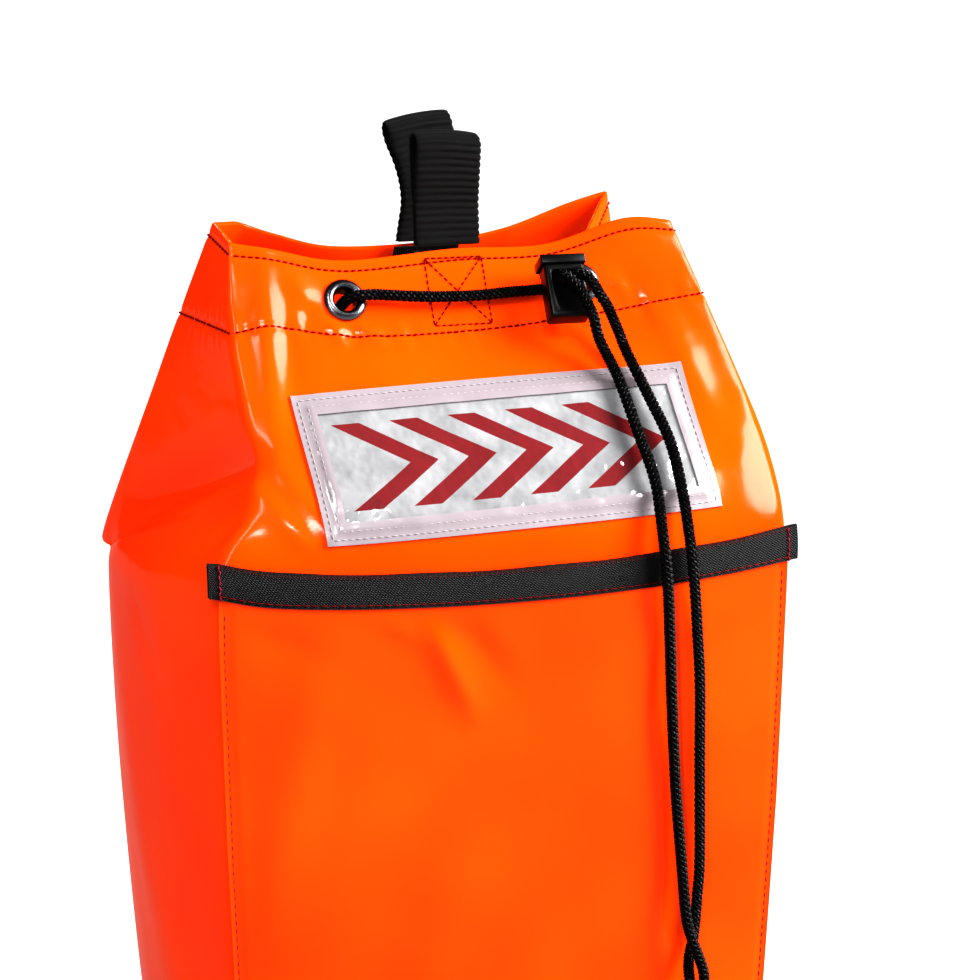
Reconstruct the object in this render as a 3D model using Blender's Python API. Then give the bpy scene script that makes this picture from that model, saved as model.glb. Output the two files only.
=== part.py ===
"""Throw rope bag: a box-shaped coated-fabric rope bag with a drawcord mouth.

The bag stands on its base with its front towards -Y. Lengths below are in millimetres and
are turned into metres where the meshes are made. The origin is at the centre of the base.
"""
from math import cos, exp, pi, radians, sin

import bmesh
import bpy
import numpy as np
from mathutils import Matrix, Vector

MM = 0.001

# ---- fabric ------------------------------------------------------------------------------
SHEET = 1.0            # coated fabric
HEM_SHEET = 2.0        # the fabric is doubled in the mouth hem
SEAM_GAP = 0.2         # each panel stops this far short of its corner seam
GAP = 0.3              # clearance between pieces that touch

# ---- the bag's shape ---------------------------------------------------------------------
# Half width, half depth and height of the box-shaped lower body, from the base up.
LOWER_BODY = [(98, 66, 0), (102, 71, 60), (106, 74, 150), (108, 75, 225), (108, 75, 257)]
FRONT_LEFT_NECK = [(-92, -66, 281), (-89, -46, 307), (-89, -28, 332), (-85, -13, 362)]
FRONT_RIGHT_NECK = [(107, -64, 282), (103, -46, 308), (95, -28, 338), (88, -13, 363)]
BACK_LEFT_NECK = [(-101, 66, 281), (-91, 53, 305), (-80, 41, 334), (-71, 30, 364)]
BACK_RIGHT_NECK = [(102, 66, 281), (95, 53, 306), (86, 41, 337), (78, 30, 370)]
TOP = 8                # the mouth is level 8, the hem's lower stitch line is level 7
HEM_LEVEL = 7.0

FRONT_BULGE = [3, 7, 8, 9, 9, 12.5, 5, 0.5, 0]
BACK_BULGE = [3, 8, 11, 12, 11.8, 8, 4, 1, 0]
SIDE_BULGE = [5, 12, 16, 17, 16]
FRONT_SAG = [0, 0, 0, 0, 0, -9.5, -5.5]
BACK_SAG = [0, 0, 0, 0, 0, -2, -6]
WALL_KNOTS = [0, 0.1, 0.25, 0.5, 0.7, 0.88, 1]
FRONT_HEM_SAG = [[0, 1, -5, -6.5, -5, -2, 0], [0, -3.5, -8.7, -6.5, -6.6, 1.5, 0]]
BACK_HEM_SAG = [[0, -4, -9, -11, -8, -3, 0], [0, -6, -12.5, -14, -11.5, -4, 0]]

# The left gusset folds outward along one line, the right gusset folds inward.
LEFT_KNOTS = [0, 0.27, 0.55, 0.82, 1]
RIGHT_KNOTS = [0, 0.25, 0.5, 0.75, 1]
LEFT_SHOULDER = [(-99, -36, 274.3), (-109, 2, 261.5), (-120, 47, 247.7)]
LEFT_DROP = {3: (1, 3, 6), 4: (5, 9, 16)}      # the folded shoulder presses the side down under it
RIGHT_SHOULDER = [(113, -32, 278), (115, 2, 276), (111, 36, 278)]
LEFT_FOLD = [(-104, 28, 305), (-96, 19, 333), (-86, 7, 367)]
RIGHT_FOLD = [(92, 5, 300), (74, 6, 328), (58, 6, 352)]


def spline(points, t):
    """A point on the smooth curve through evenly numbered points, t from 0 to len - 1."""
    points = np.asarray(points, float)
    last = len(points) - 1
    i = int(min(max(np.floor(t), 0), last - 1))
    f = t - i
    p1, p2 = points[i], points[i + 1]
    p0 = points[i - 1] if i > 0 else 2 * p1 - p2
    p3 = points[i + 2] if i + 2 <= last else 2 * p2 - p1
    return (p1 + 0.5 * f * (p2 - p0 + f * (2 * p0 - 5 * p1 + 4 * p2 - p3
            + f * (3 * (p1 - p2) + p3 - p0))))


def corner(x_sign, y_sign, neck):
    lower = [(x_sign * x, y_sign * y, z) for x, y, z in LOWER_BODY]
    return np.array(lower + neck, float)


FRONT_LEFT = corner(-1, -1, FRONT_LEFT_NECK)
FRONT_RIGHT = corner(1, -1, FRONT_RIGHT_NECK)
BACK_LEFT = corner(-1, 1, BACK_LEFT_NECK)
BACK_RIGHT = corner(1, 1, BACK_RIGHT_NECK)


def wall_net(left, right, y_sign, bulge, sag, hem_sag):
    """Rows of points across the front or the back, from the base to the mouth."""
    net = []
    for level in range(TOP + 1):
        row = []
        for k, u in enumerate(WALL_KNOTS):
            point = left[level] * (1 - u) + right[level] * u
            point[1] += y_sign * bulge[level] * (1 - abs(2 * u - 1) ** 2.5)
            if level < HEM_LEVEL:
                point[2] += sag[level] * (1 - (2 * u - 1) ** 2)
            else:
                point[2] += hem_sag[level - 7][k]
            row.append(point)
        net.append(row)
    return np.array(net)


def side_net(front, back, x_sign, knots, shoulder, fold, fold_at, drop):
    """Rows of points along a side, front to back: a bulged box side under a folded gusset."""
    net = []
    for level in range(TOP + 1):
        row = [front[level]]
        for k in (1, 2, 3):
            u = knots[k]
            if level < 5:
                point = front[level] * (1 - u) + back[level] * u
                point[0] += x_sign * SIDE_BULGE[level] * (1 - (2 * u - 1) ** 2)
                point[2] -= drop.get(level, (0, 0, 0))[k - 1]
            elif level == 5:
                point = np.array(shoulder[k - 1], float)
            elif k <= fold_at:
                point = front[level] + (np.array(fold[level - 6]) - front[level]) * k / fold_at
            else:
                rest = (k - fold_at) / (4 - fold_at)
                point = np.array(fold[level - 6]) * (1 - rest) + back[level] * rest
            row.append(point)
        row.append(back[level])
        net.append(row)
    return np.array(net)


NETS = {
    "front": (wall_net(FRONT_LEFT, FRONT_RIGHT, -1, FRONT_BULGE, FRONT_SAG, FRONT_HEM_SAG),
              WALL_KNOTS, 1),
    "back": (wall_net(BACK_LEFT, BACK_RIGHT, 1, BACK_BULGE, BACK_SAG, BACK_HEM_SAG),
             WALL_KNOTS, -1),
    "left": (side_net(FRONT_LEFT, BACK_LEFT, -1, LEFT_KNOTS, LEFT_SHOULDER, LEFT_FOLD, 3,
                      LEFT_DROP), LEFT_KNOTS, -1),
    "right": (side_net(FRONT_RIGHT, BACK_RIGHT, 1, RIGHT_KNOTS, RIGHT_SHOULDER, RIGHT_FOLD, 2,
                       {}), RIGHT_KNOTS, 1),
}


def surface(wall, u, t):
    """A point on the outside of a wall: u runs 0 to 1 across it, t from the base, 0, to 8."""
    net, knots, _ = NETS[wall]
    row = [spline(net[:, k], t) for k in range(len(knots))]
    inside = min(max(u, 0), 1)
    place = float(np.interp(inside, knots, range(len(knots))))
    smooth = spline(row, place)
    if wall in ("left", "right"):
        k = min(int(place), len(knots) - 2)
        straight = row[k] + (row[k + 1] - row[k]) * (place - k)
        crisp = min(max((t - 4.4) / 0.6, 0), 1)
        smooth = smooth * (1 - crisp) + straight * crisp
    return smooth + (row[-1] - row[0]) * (u - inside)


def normal(wall, u, t):
    step = 0.004
    across = surface(wall, u + step, t) - surface(wall, u - step, t)
    up = surface(wall, u, min(t + 0.02, TOP)) - surface(wall, u, max(t - 0.02, 0))
    n = np.cross(across, up) * NETS[wall][2]
    return n / np.linalg.norm(n)


def locate(wall, x, z):
    """The u and t where a front or back wall passes through x and z."""
    u, t = 0.5, 6.0
    for _ in range(30):
        here = surface(wall, u, t)
        du = surface(wall, u + 0.01, t) - here
        dt = surface(wall, u, t + 0.01) - here if t < TOP - 0.02 else here - surface(wall, u, t - 0.01)
        step = np.linalg.solve([[du[0], dt[0]], [du[2], dt[2]]], [x - here[0], z - here[2]])
        u = min(max(u + 0.01 * step[0], -0.05), 1.05)
        t = min(max(t + 0.01 * step[1], 0), TOP)
    return u, t


def on_wall(wall, x, z, offset=0.0):
    u, t = locate(wall, x, z)
    return surface(wall, u, t) + normal(wall, u, t) * offset


# ---- making objects ----------------------------------------------------------------------
MATERIALS = {
    "coated_fabric": ((0.93, 0.13, 0.01), 0.25, 0.0),
    "webbing": ((0.012, 0.012, 0.013), 0.75, 0.0),
    "binding": ((0.015, 0.015, 0.016), 0.8, 0.0),
    "reflective_film": ((0.62, 0.63, 0.64), 0.35, 0.2),
    "clear_vinyl": ((0.85, 0.85, 0.87), 0.12, 0.0),
    "dark_metal": ((0.16, 0.16, 0.17), 0.28, 1.0),
    "lock_plastic": ((0.02, 0.02, 0.022), 0.4, 0.0),
    "spring_steel": ((0.6, 0.6, 0.62), 0.25, 1.0),
    "cord": ((0.015, 0.015, 0.016), 0.7, 0.0),
    "floating_rope": ((0.85, 0.75, 0.08), 0.7, 0.0),
    "foam": ((0.8, 0.8, 0.78), 0.9, 0.0),
}


def material(name):
    found = bpy.data.materials.get(name)
    if found:
        return found
    color, roughness, metallic = MATERIALS[name]
    made = bpy.data.materials.new(name)
    made.use_nodes = True
    shader = made.node_tree.nodes["Principled BSDF"]
    shader.inputs["Base Color"].default_value = (*color, 1)
    shader.inputs["Roughness"].default_value = roughness
    shader.inputs["Metallic"].default_value = metallic
    return made


def add_object(name, bm, material_name, smooth=True, origin=(0, 0, 0)):
    """Turns a bmesh in millimetres into an object in metres with its origin at a place."""
    bmesh.ops.recalc_face_normals(bm, faces=bm.faces)
    mesh = bpy.data.meshes.new(name)
    bm.to_mesh(mesh)
    bm.free()
    mesh.transform(Matrix.Scale(MM, 4) @ Matrix.Translation(-Vector(origin)))
    if smooth:
        mesh.shade_smooth()
        mesh.set_sharp_from_angle(angle=radians(40))
    mesh.materials.append(material(material_name))
    made = bpy.data.objects.new(name, mesh)
    made.location = Vector(origin) * MM
    bpy.context.collection.objects.link(made)
    return made


def shell(outer, inner):
    """A closed sheet between two equal grids of points, as a bmesh."""
    bm = bmesh.new()
    rows, cols = len(outer), len(outer[0])
    top = [[bm.verts.new(p) for p in row] for row in outer]
    low = [[bm.verts.new(p) for p in row] for row in inner]
    for j in range(rows - 1):
        for i in range(cols - 1):
            bm.faces.new((top[j][i], top[j][i + 1], top[j + 1][i + 1], top[j + 1][i]))
            bm.faces.new((low[j][i], low[j + 1][i], low[j + 1][i + 1], low[j][i + 1]))
    rim = [(0, i) for i in range(cols)] + [(j, cols - 1) for j in range(1, rows)]
    rim += [(rows - 1, i) for i in range(cols - 2, -1, -1)] + [(j, 0) for j in range(rows - 2, 0, -1)]
    for (j, i), (k, m) in zip(rim, rim[1:] + rim[:1]):
        bm.faces.new((top[j][i], low[j][i], low[k][m], top[k][m]))
    return bm


def cut(target, cutter_bm, name):
    """Takes a cutter's shape away from an object."""
    cutter = add_object(name, cutter_bm, "dark_metal")
    cutter.hide_render = True
    cutter.display_type = "WIRE"
    modifier = target.modifiers.new(name, "BOOLEAN")
    modifier.operation = "DIFFERENCE"
    modifier.object = cutter


def lathe(profile, frame, segments=20):
    """Turns a closed profile of (radius, height) points around a frame's own Z axis."""
    bm = bmesh.new()
    rings = []
    for k in range(segments):
        a = 2 * pi * k / segments
        rings.append([bm.verts.new(frame @ Vector((r * cos(a), r * sin(a), s)))
                      for r, s in profile])
    count = len(profile)
    for ring, following in zip(rings, rings[1:] + rings[:1]):
        for k in range(count):
            m = (k + 1) % count
            bm.faces.new((ring[k], ring[m], following[m], following[k]))
    return bm


def solid_cylinder(frame, radius, low, high, segments=24):
    bm = bmesh.new()
    spot = frame @ Matrix.Translation((0, 0, (low + high) / 2))
    bmesh.ops.create_cone(bm, cap_ends=True, segments=segments, radius1=radius, radius2=radius,
                          depth=high - low, matrix=spot)
    return bm


def block(frame, low, high):
    """A box between two corners given in a frame."""
    bm = bmesh.new()
    size = Vector(high) - Vector(low)
    middle = (Vector(high) + Vector(low)) / 2
    bmesh.ops.create_cube(bm, size=1, matrix=frame @ Matrix.Translation(middle)
                          @ Matrix.Diagonal((*size, 1)))
    return bm


def wall_frame(wall, x, z, offset=0.0):
    """A frame on a wall: X level across it, Y up along it, Z straight out of it."""
    u, t = locate(wall, x, z)
    out = Vector(normal(wall, u, t))
    across = Vector((0, 0, 1)).cross(out).normalized()
    up = out.cross(across)
    place = Vector(surface(wall, u, t)) + out * offset
    turned = Matrix((across, up, out)).transposed().to_4x4()
    return Matrix.Translation(place) @ turned


# ---- the bag's own panels ------------------------------------------------------------------
COLUMNS = {"front": 12, "back": 10, "left": 8, "right": 8}
ROWS = [0, 0.5, 1, 1.5, 2, 2.5, 3, 3.5, 4, 4.25, 4.5, 4.75, 5, 5.5, 6, 6.5, 6.95, 7.05, 7.5, 8]
NEIGHBOURS = {"front": ("left", 0, "right", 0), "back": ("left", 1, "right", 1),
              "left": ("front", 0, "back", 0), "right": ("front", 1, "back", 1)}


def thickness(t):
    return HEM_SHEET if t > HEM_LEVEL else SHEET


def panel(wall):
    """One wall of the bag. Its edges are mitred, so that it meets its neighbours at the seams."""
    count = COLUMNS[wall]
    first, first_u, last, last_u = NEIGHBOURS[wall]
    outer, inner = [], []
    for t in ROWS:
        out_row, in_row = [], []
        for i in range(count + 1):
            u = i / count
            place = surface(wall, u, t)
            inward = -normal(wall, u, t) * thickness(t)
            if i in (0, count):
                other, other_u = (first, first_u) if i == 0 else (last, last_u)
                both = normal(wall, u, t) + normal(other, other_u, t)
                both /= np.linalg.norm(both)
                lean = max(float(np.dot(both, normal(wall, u, t))), 0.55)
                inward = -both * thickness(t) / lean
                beside = surface(wall, 0.01 if i == 0 else 0.99, t) - place
                place = place + beside / np.linalg.norm(beside) * SEAM_GAP
            out_row.append(place)
            in_row.append(place + inward)
        outer.append(out_row)
        inner.append(in_row)
    return add_object(wall + ("_panel" if wall in ("front", "back") else "_side_panel"),
                      shell(outer, inner), "coated_fabric")


def ring(t, inset, per_side=6):
    """The bag's outline at a level, moved in from its outside by an inset."""
    points = []
    for wall, forward in (("front", 1), ("right", 1), ("back", 0), ("left", 0)):
        for i in range(per_side):
            u = i / per_side if forward else 1 - i / per_side
            points.append(surface(wall, u, t))
    points = np.array(points)
    middle = points.mean(axis=0)
    spread = points - middle
    reach = np.linalg.norm(spread[:, :2], axis=1, keepdims=True)
    return middle + spread * (1 - inset / reach)


def stacked(outlines):
    """A closed solid through a stack of outlines with the same number of points."""
    bm = bmesh.new()
    loops = [[bm.verts.new(p) for p in outline] for outline in outlines]
    for low, high in zip(loops, loops[1:]):
        for i in range(len(low)):
            k = (i + 1) % len(low)
            bm.faces.new((low[i], low[k], high[k], high[i]))
    bm.faces.new(loops[0])
    bm.faces.new(loops[-1])
    return bm


def flat(outline, z):
    return [(x, y, z) for x, y, _ in outline]


def base_and_contents():
    base = flat(ring(0, 3.2), 0)
    add_object("base_panel", stacked([base, flat(base, 1.5)]), "coated_fabric", smooth=False)
    foam = ring(0.1, 9)
    add_object("foam_float", stacked([flat(foam, 2.0), flat(foam, 14.0)]), "foam", smooth=False)
    pack = [flat(ring(0.3, 22), 14.5), ring(0.6, 12), ring(1.5, 12), ring(2.5, 12), ring(3.3, 12),
            ring(4, 16), flat(ring(4, 34), 262), flat(ring(4, 60), 270)]
    add_object("throw_rope", stacked(pack), "floating_rope")


# ---- front pocket with its bound mouth ------------------------------------------------------
POCKET_FOOT = 3.0
POCKET_TOP = 257.1
POCKET_COLUMNS = 16
TAPE_HEIGHT = 11.2
TAPE_LIFT = 2.2
TAPE_SAG = 5.5
TAPE_END = 111.0       # the binding runs a little past the corner seams
TAPE_SHEET = 0.6
POCKET_OFFSET = 2.0
POCKET_SHEET = 0.8


def tape_height(x):
    """The pocket's edge sags in the middle and turns up sharply at its left end."""
    lift = TAPE_LIFT * exp(-((x + TAPE_END) / 14) ** 2)
    return POCKET_TOP - TAPE_SAG * (1 - (x / TAPE_END) ** 2) + lift


def front_pocket():
    """A second layer over the lower front, sewn to the corner seams and open at its top."""
    body_rows = 9
    below_tape = (-14.5, -7.0, -0.9)
    half_widths = np.array(LOWER_BODY, float)[:, 0]
    outer, inner = [], []
    for j in range(body_rows + len(below_tape)):
        part = min(j / body_rows, 1)
        half = float(spline(half_widths, 4 * part)) - 1.0
        out_row, in_row = [], []
        for i in range(POCKET_COLUMNS + 1):
            x = half * (2 * i / POCKET_COLUMNS - 1)
            upper = tape_height(x) + below_tape[max(j - body_rows, 0)]
            z = POCKET_FOOT + (upper - POCKET_FOOT) * part
            out_row.append(on_wall("front", x, z, POCKET_OFFSET + POCKET_SHEET))
            in_row.append(on_wall("front", x, z, POCKET_OFFSET))
        outer.append(out_row)
        inner.append(in_row)
    add_object("front_pocket", shell(outer, inner), "coated_fabric")


def pocket_binding():
    """The tape is folded over the pocket's edge, so its section is a narrow upside-down U."""
    face = POCKET_OFFSET + POCKET_SHEET + GAP
    back = POCKET_OFFSET - GAP
    downs = (-TAPE_HEIGHT, -7.0)
    hollow = [(back, dz) for dz in (*downs, -0.3)] + [(face, dz) for dz in (-0.3, *reversed(downs))]
    outside = [(back - TAPE_SHEET, dz) for dz in (*downs, 0.4)]
    outside += [(face + TAPE_SHEET, dz) for dz in (0.4, *reversed(downs))]
    half = LOWER_BODY[-1][0] - 1.0
    inner_xs = [half * (2 * i / POCKET_COLUMNS - 1) for i in range(POCKET_COLUMNS + 1)]
    xs = [-TAPE_END] + inner_xs + [TAPE_END]

    def sweep(path):
        return [[on_wall("front", x, tape_height(x) + dz, offset) for x in xs] for offset, dz in path]

    add_object("pocket_binding_tape", shell(sweep(outside), sweep(hollow)), "binding")


# ---- label: a reflective sheet under a clear vinyl cover ---------------------------------------
LABEL_CENTRE_X = 3.5
LABEL_WIDTH = 150.0
LABEL_LOW = 265.2
LABEL_HIGH = 312.5
LABEL_RISE = 0.023     # the label sits a little crooked on the panel
LABEL_DRIFT = 3.0      # its lower edge sits further to the right
LABEL_BORDER = 7.0
FILM_OFFSET = 0.35
FILM_SHEET = 0.45
VINYL_SHEET = 0.5


def label_spot(a, b):
    """A place on the label's rectangle, a and b from 0 to 1, as the front wall's x and z."""
    x = LABEL_CENTRE_X + LABEL_WIDTH * (a - 0.5)
    z = LABEL_LOW + (LABEL_HIGH - LABEL_LOW) * b + LABEL_RISE * (x - LABEL_CENTRE_X)
    x += LABEL_DRIFT * (1 - b)
    return x, z


def label():
    across, up = 12, 5
    border_a = LABEL_BORDER / LABEL_WIDTH
    border_b = 0.12
    film_top = FILM_OFFSET + FILM_SHEET

    def film(i, j, offset):
        a = border_a + (1 - 2 * border_a) * i / across
        b = border_b + (1 - 2 * border_b) * j / up
        return on_wall("front", *label_spot(a, b), offset)

    add_object("label_reflector", shell(
        [[film(i, j, film_top) for i in range(across + 1)] for j in range(up + 1)],
        [[film(i, j, FILM_OFFSET) for i in range(across + 1)] for j in range(up + 1)],
    ), "reflective_film")

    inset_a, inset_b = border_a * 0.7, border_b * 0.7
    columns = [0, inset_a * 0.85, inset_a]
    columns += [inset_a + (1 - 2 * inset_a) * k / 10 for k in range(1, 10)]
    columns += [1 - inset_a, 1 - inset_a * 0.85, 1]
    rows = [0, inset_b * 0.85, inset_b, 0.3, 0.5, 0.7, 1 - inset_b, 1 - inset_b * 0.85, 1]

    def lift(a, b):
        over = inset_a - 1e-6 <= a <= 1 - inset_a + 1e-6 and inset_b - 1e-6 <= b <= 1 - inset_b + 1e-6
        return film_top + GAP if over else FILM_OFFSET

    add_object("label_window", shell(
        [[on_wall("front", *label_spot(a, b), lift(a, b) + VINYL_SHEET) for a in columns] for b in rows],
        [[on_wall("front", *label_spot(a, b), lift(a, b)) for a in columns] for b in rows],
    ), "clear_vinyl")


# ---- eyelets ------------------------------------------------------------------------------------
EYELET_PLACE = {"front": ((-44.0, 340.5), (46.0, 342.5)), "back": ((-50.0, 341.5), (50.5, 344.0))}
EYELET_HOLE = 4.3
PANEL_HOLE = 5.3
EYELET_PROFILE = [(4.3, -4.6), (4.3, 1.2), (5.0, 1.95), (6.2, 2.2), (7.4, 1.8), (8.0, 1.1), (8.0, 0.8),
                  (4.9, 0.8), (4.9, -4.1), (6.1, -4.1), (6.1, -4.6), (5.2, -5.0)]
WASHER_PROFILE = [(5.2, -3.8), (7.6, -3.8), (7.6, -2.8), (5.2, -2.8)]


def eyelet_frame(wall, side):
    return wall_frame(wall, *EYELET_PLACE[wall][0 if side == "left" else 1])


def eyelets(panels):
    for wall in ("front", "back"):
        for side in ("left", "right"):
            frame = eyelet_frame(wall, side)
            name = "eyelet_" + wall + "_" + side
            cut(panels[wall], solid_cylinder(frame, PANEL_HOLE, -6, 6), name + "_hole")
            add_object(name, lathe(EYELET_PROFILE, frame), "dark_metal")
            add_object(name + "_washer", lathe(WASHER_PROFILE, frame), "dark_metal")


# ---- webbing loops --------------------------------------------------------------------------------
WEBBING_WIDTH = 25.0
WEBBING = 1.7
LOOP_HEIGHT = {"front": 42.5, "back": 48.5}
LOOP_LEAN = {"front": 0.0, "back": -0.1}
LOOP_EYE = 3.6         # half the width of the loop's eye, between the faces of the webbing
LOOP_PIVOT = {"front": (-1.0, -8.0, 357.5), "back": (2.0, 24.6, 354.8)}
LOOP_ROOM = 1.9        # above each sewn tab, for the loop's lower edge as the loop leans over


def band(points, half_width, sheet, pivot, lean):
    """A flat ribbon of webbing: (y, z) points of its middle line, swept across its width."""
    points = [np.array(p, float) for p in points]
    one, two = [], []
    for k, p in enumerate(points):
        ahead = points[min(k + 1, len(points) - 1)] - points[max(k - 1, 0)]
        side = np.array([-ahead[1], ahead[0]]) / np.linalg.norm(ahead) * sheet / 2
        one.append(p + side)
        two.append(p - side)
    outer, inner = [[[(pivot[0] + s * half_width + lean * (z - pivot[2]), y, z) for s in (-1, 1)]
                     for y, z in line] for line in (one, two)]
    return shell(outer, inner)


def loop_line(y, z, height):
    """The loop's middle line: up one leg, round a drop-shaped eye and down the other leg."""
    leg = WEBBING / 2 + 0.2
    wide = LOOP_EYE + WEBBING / 2
    crown = height - wide - WEBBING / 2
    rising = [(-leg, 0), (-leg, 8), (-leg * 1.3, 16), (-wide * 0.72, crown * 0.72), (-wide, crown)]
    arc = [(-wide * cos(pi * k / 8), crown + wide * sin(pi * k / 8)) for k in range(1, 8)]
    falling = [(-dy, dz) for dy, dz in reversed(rising)]
    return [(y + dy, z + dz) for dy, dz in rising + arc + falling]


def loops():
    for wall, name in (("front", "front_loop"), ("back", "rear_loop")):
        pivot = LOOP_PIVOT[wall]
        line = loop_line(pivot[1], pivot[2], LOOP_HEIGHT[wall])
        add_object(name, band(line, WEBBING_WIDTH / 2, WEBBING, pivot, LOOP_LEAN[wall]), "webbing",
                   origin=pivot)
        sewn_tab(wall, name)


def sewn_tab(wall, name):
    """Both ends of the loop, one on the other, sewn flat to the inside of the hem."""
    pivot = LOOP_PIVOT[wall]
    sheet = 2 * WEBBING + 0.2
    near = -(HEM_SHEET + 0.5)
    inward = 1 if wall == "front" else -1
    outer, inner = [], []
    for down in (25, 19, 13, 7):
        xs = [pivot[0] + s * WEBBING_WIDTH / 2 for s in (-1, 0, 1)]
        outer.append([on_wall(wall, x, pivot[2] - down, near) for x in xs])
        inner.append([on_wall(wall, x, pivot[2] - down, near - sheet) for x in xs])
    for grid, side in ((outer, -1), (inner, 1)):
        grid.append([(x, pivot[1] + inward * side * sheet / 2, pivot[2] - LOOP_ROOM) for x in xs])
    add_object(name + "_sewn_tab", shell(outer, inner), "webbing")


# ---- cord lock ---------------------------------------------------------------------------------------
LOCK_X = 36.5
LOCK_Z = 335.9
LOCK_BACK = 7.3
LOCK_DEPTH = 8.4
LOCK_WIDTH = 15.2
LOCK_LOW, LOCK_HIGH = -11.5, 9.8
SLOT_WIDTH = 10.5
SLOT_LOW, SLOT_HIGH = 0.8, 7.0
LOCK_CAVITY = (13.2, 4.6)
CORD = 4.5
CORD_LEVEL = 4.55      # where the cords pass, up from the lock's middle
LOCK_TRAVEL = 1.8
CAP_OVER = 0.9         # the cap stands this far out over the body's front and back


def cord_lock():
    frame = wall_frame("front", LOCK_X, LOCK_Z)
    half = LOCK_WIDTH / 2
    front = LOCK_BACK + LOCK_DEPTH
    middle = (LOCK_BACK + 1.6 + LOCK_BACK + 1.6 + LOCK_CAVITY[1]) / 2
    origin = frame @ Vector((0, LOCK_HIGH, middle))

    body = add_object("cord_lock_body", block(frame, (-half, LOCK_LOW, LOCK_BACK),
                                              (half, LOCK_HIGH, front)),
                      "lock_plastic", origin=origin)
    bevel = body.modifiers.new("edges", "BEVEL")
    bevel.width = 0.9 * MM
    bevel.segments = 2
    bevel.limit_method = "ANGLE"
    cut(body, block(frame, (-LOCK_CAVITY[0] / 2, -9.5, middle - LOCK_CAVITY[1] / 2),
                    (LOCK_CAVITY[0] / 2, 20, middle + LOCK_CAVITY[1] / 2)), "lock_cavity")
    cut(body, block(frame, (-SLOT_WIDTH / 2, SLOT_LOW, 0), (SLOT_WIDTH / 2, SLOT_HIGH, 30)), "lock_slot")
    cut(body, block(frame, (-10, SLOT_LOW, 0), (10, SLOT_HIGH, LOCK_BACK + 2.0)), "lock_entry")
    cut(body, block(frame, (-5.4, -8.3, front - 1.2), (5.4, SLOT_HIGH, 30)), "lock_recess")

    cap_half, cap_low, cap_high = 8.5, 9.3, 12.9
    button = add_object("cord_lock_button", block(frame, (-cap_half, cap_low, LOCK_BACK - CAP_OVER),
                                                  (cap_half, cap_high, front + CAP_OVER)),
                        "lock_plastic", origin=origin)
    cap_bevel = button.modifiers.new("edges", "BEVEL")
    cap_bevel.width = 0.5 * MM
    cap_bevel.segments = 2
    plate = LOCK_CAVITY[0] / 2 - GAP
    deep = LOCK_CAVITY[1] / 2 - GAP
    ceiling = LOCK_HIGH + LOCK_TRAVEL + GAP
    inside = half + 0.35
    cut(button, block(frame, (-inside, cap_low - 1, LOCK_BACK - 0.35),
                      (inside, ceiling, front + 0.35)), "cap_hollow")
    stem = add_object("button_stem", block(frame, (-plate, -3.0, middle - deep),
                                           (plate, cap_high - 0.4, middle + deep)), "lock_plastic")
    stem.hide_render = True
    stem.display_type = "WIRE"
    join = button.modifiers.new("stem", "BOOLEAN")
    join.operation = "UNION"
    join.object = stem
    cut(button, block(frame, (-SLOT_WIDTH / 2, CORD_LEVEL - CORD / 2 - 0.2, middle - 6),
                      (SLOT_WIDTH / 2, CORD_LEVEL + CORD / 2 + 0.3 + LOCK_TRAVEL, middle + 6)),
        "button_window")

    spring(frame @ Matrix.Translation((0, -9.0, middle)) @ Matrix.Rotation(-pi / 2, 4, "X"))


def spring(frame):
    """A small compression spring under the button."""
    turns, height, radius, wire = 4, 5.2, 1.4, 0.25
    steps = turns * 9
    points = [frame @ Vector((radius * cos(2 * pi * turns * k / steps),
                              radius * sin(2 * pi * turns * k / steps),
                              wire + (height - 2 * wire) * k / steps)) for k in range(steps + 1)]
    tube("cord_lock_spring", points, 2 * wire, "spring_steel", resolution=1)


# ---- drawcord -----------------------------------------------------------------------------------------
def tube(name, points, diameter, material_name, resolution=2):
    """A cord along a list of points, in millimetres, as a curve with filled ends."""
    curve = bpy.data.curves.new(name, "CURVE")
    curve.dimensions = "3D"
    curve.bevel_depth = diameter / 2 * MM
    curve.bevel_resolution = resolution
    curve.use_fill_caps = True
    curve.render_resolution_u = 0
    line = curve.splines.new("POLY")
    line.points.add(len(points) - 1)
    for slot, p in zip(line.points, points):
        slot.co = (p[0] * MM, p[1] * MM, p[2] * MM, 1)
    curve.materials.append(material(material_name))
    made = bpy.data.objects.new(name, curve)
    bpy.context.collection.objects.link(made)


def along(route, spacing):
    """Evenly spaced points along the smooth curve through a route."""
    fine = np.array([spline(route, k / 20) for k in range(20 * (len(route) - 1) + 1)])
    steps = np.linalg.norm(np.diff(fine, axis=0), axis=1)
    lengths = np.concatenate([[0], np.cumsum(steps)])
    wanted = np.linspace(0, lengths[-1], int(round(lengths[-1] / spacing)) + 1)
    return [np.array([np.interp(w, lengths, fine[:, a]) for a in range(3)]) for w in wanted]


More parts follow.
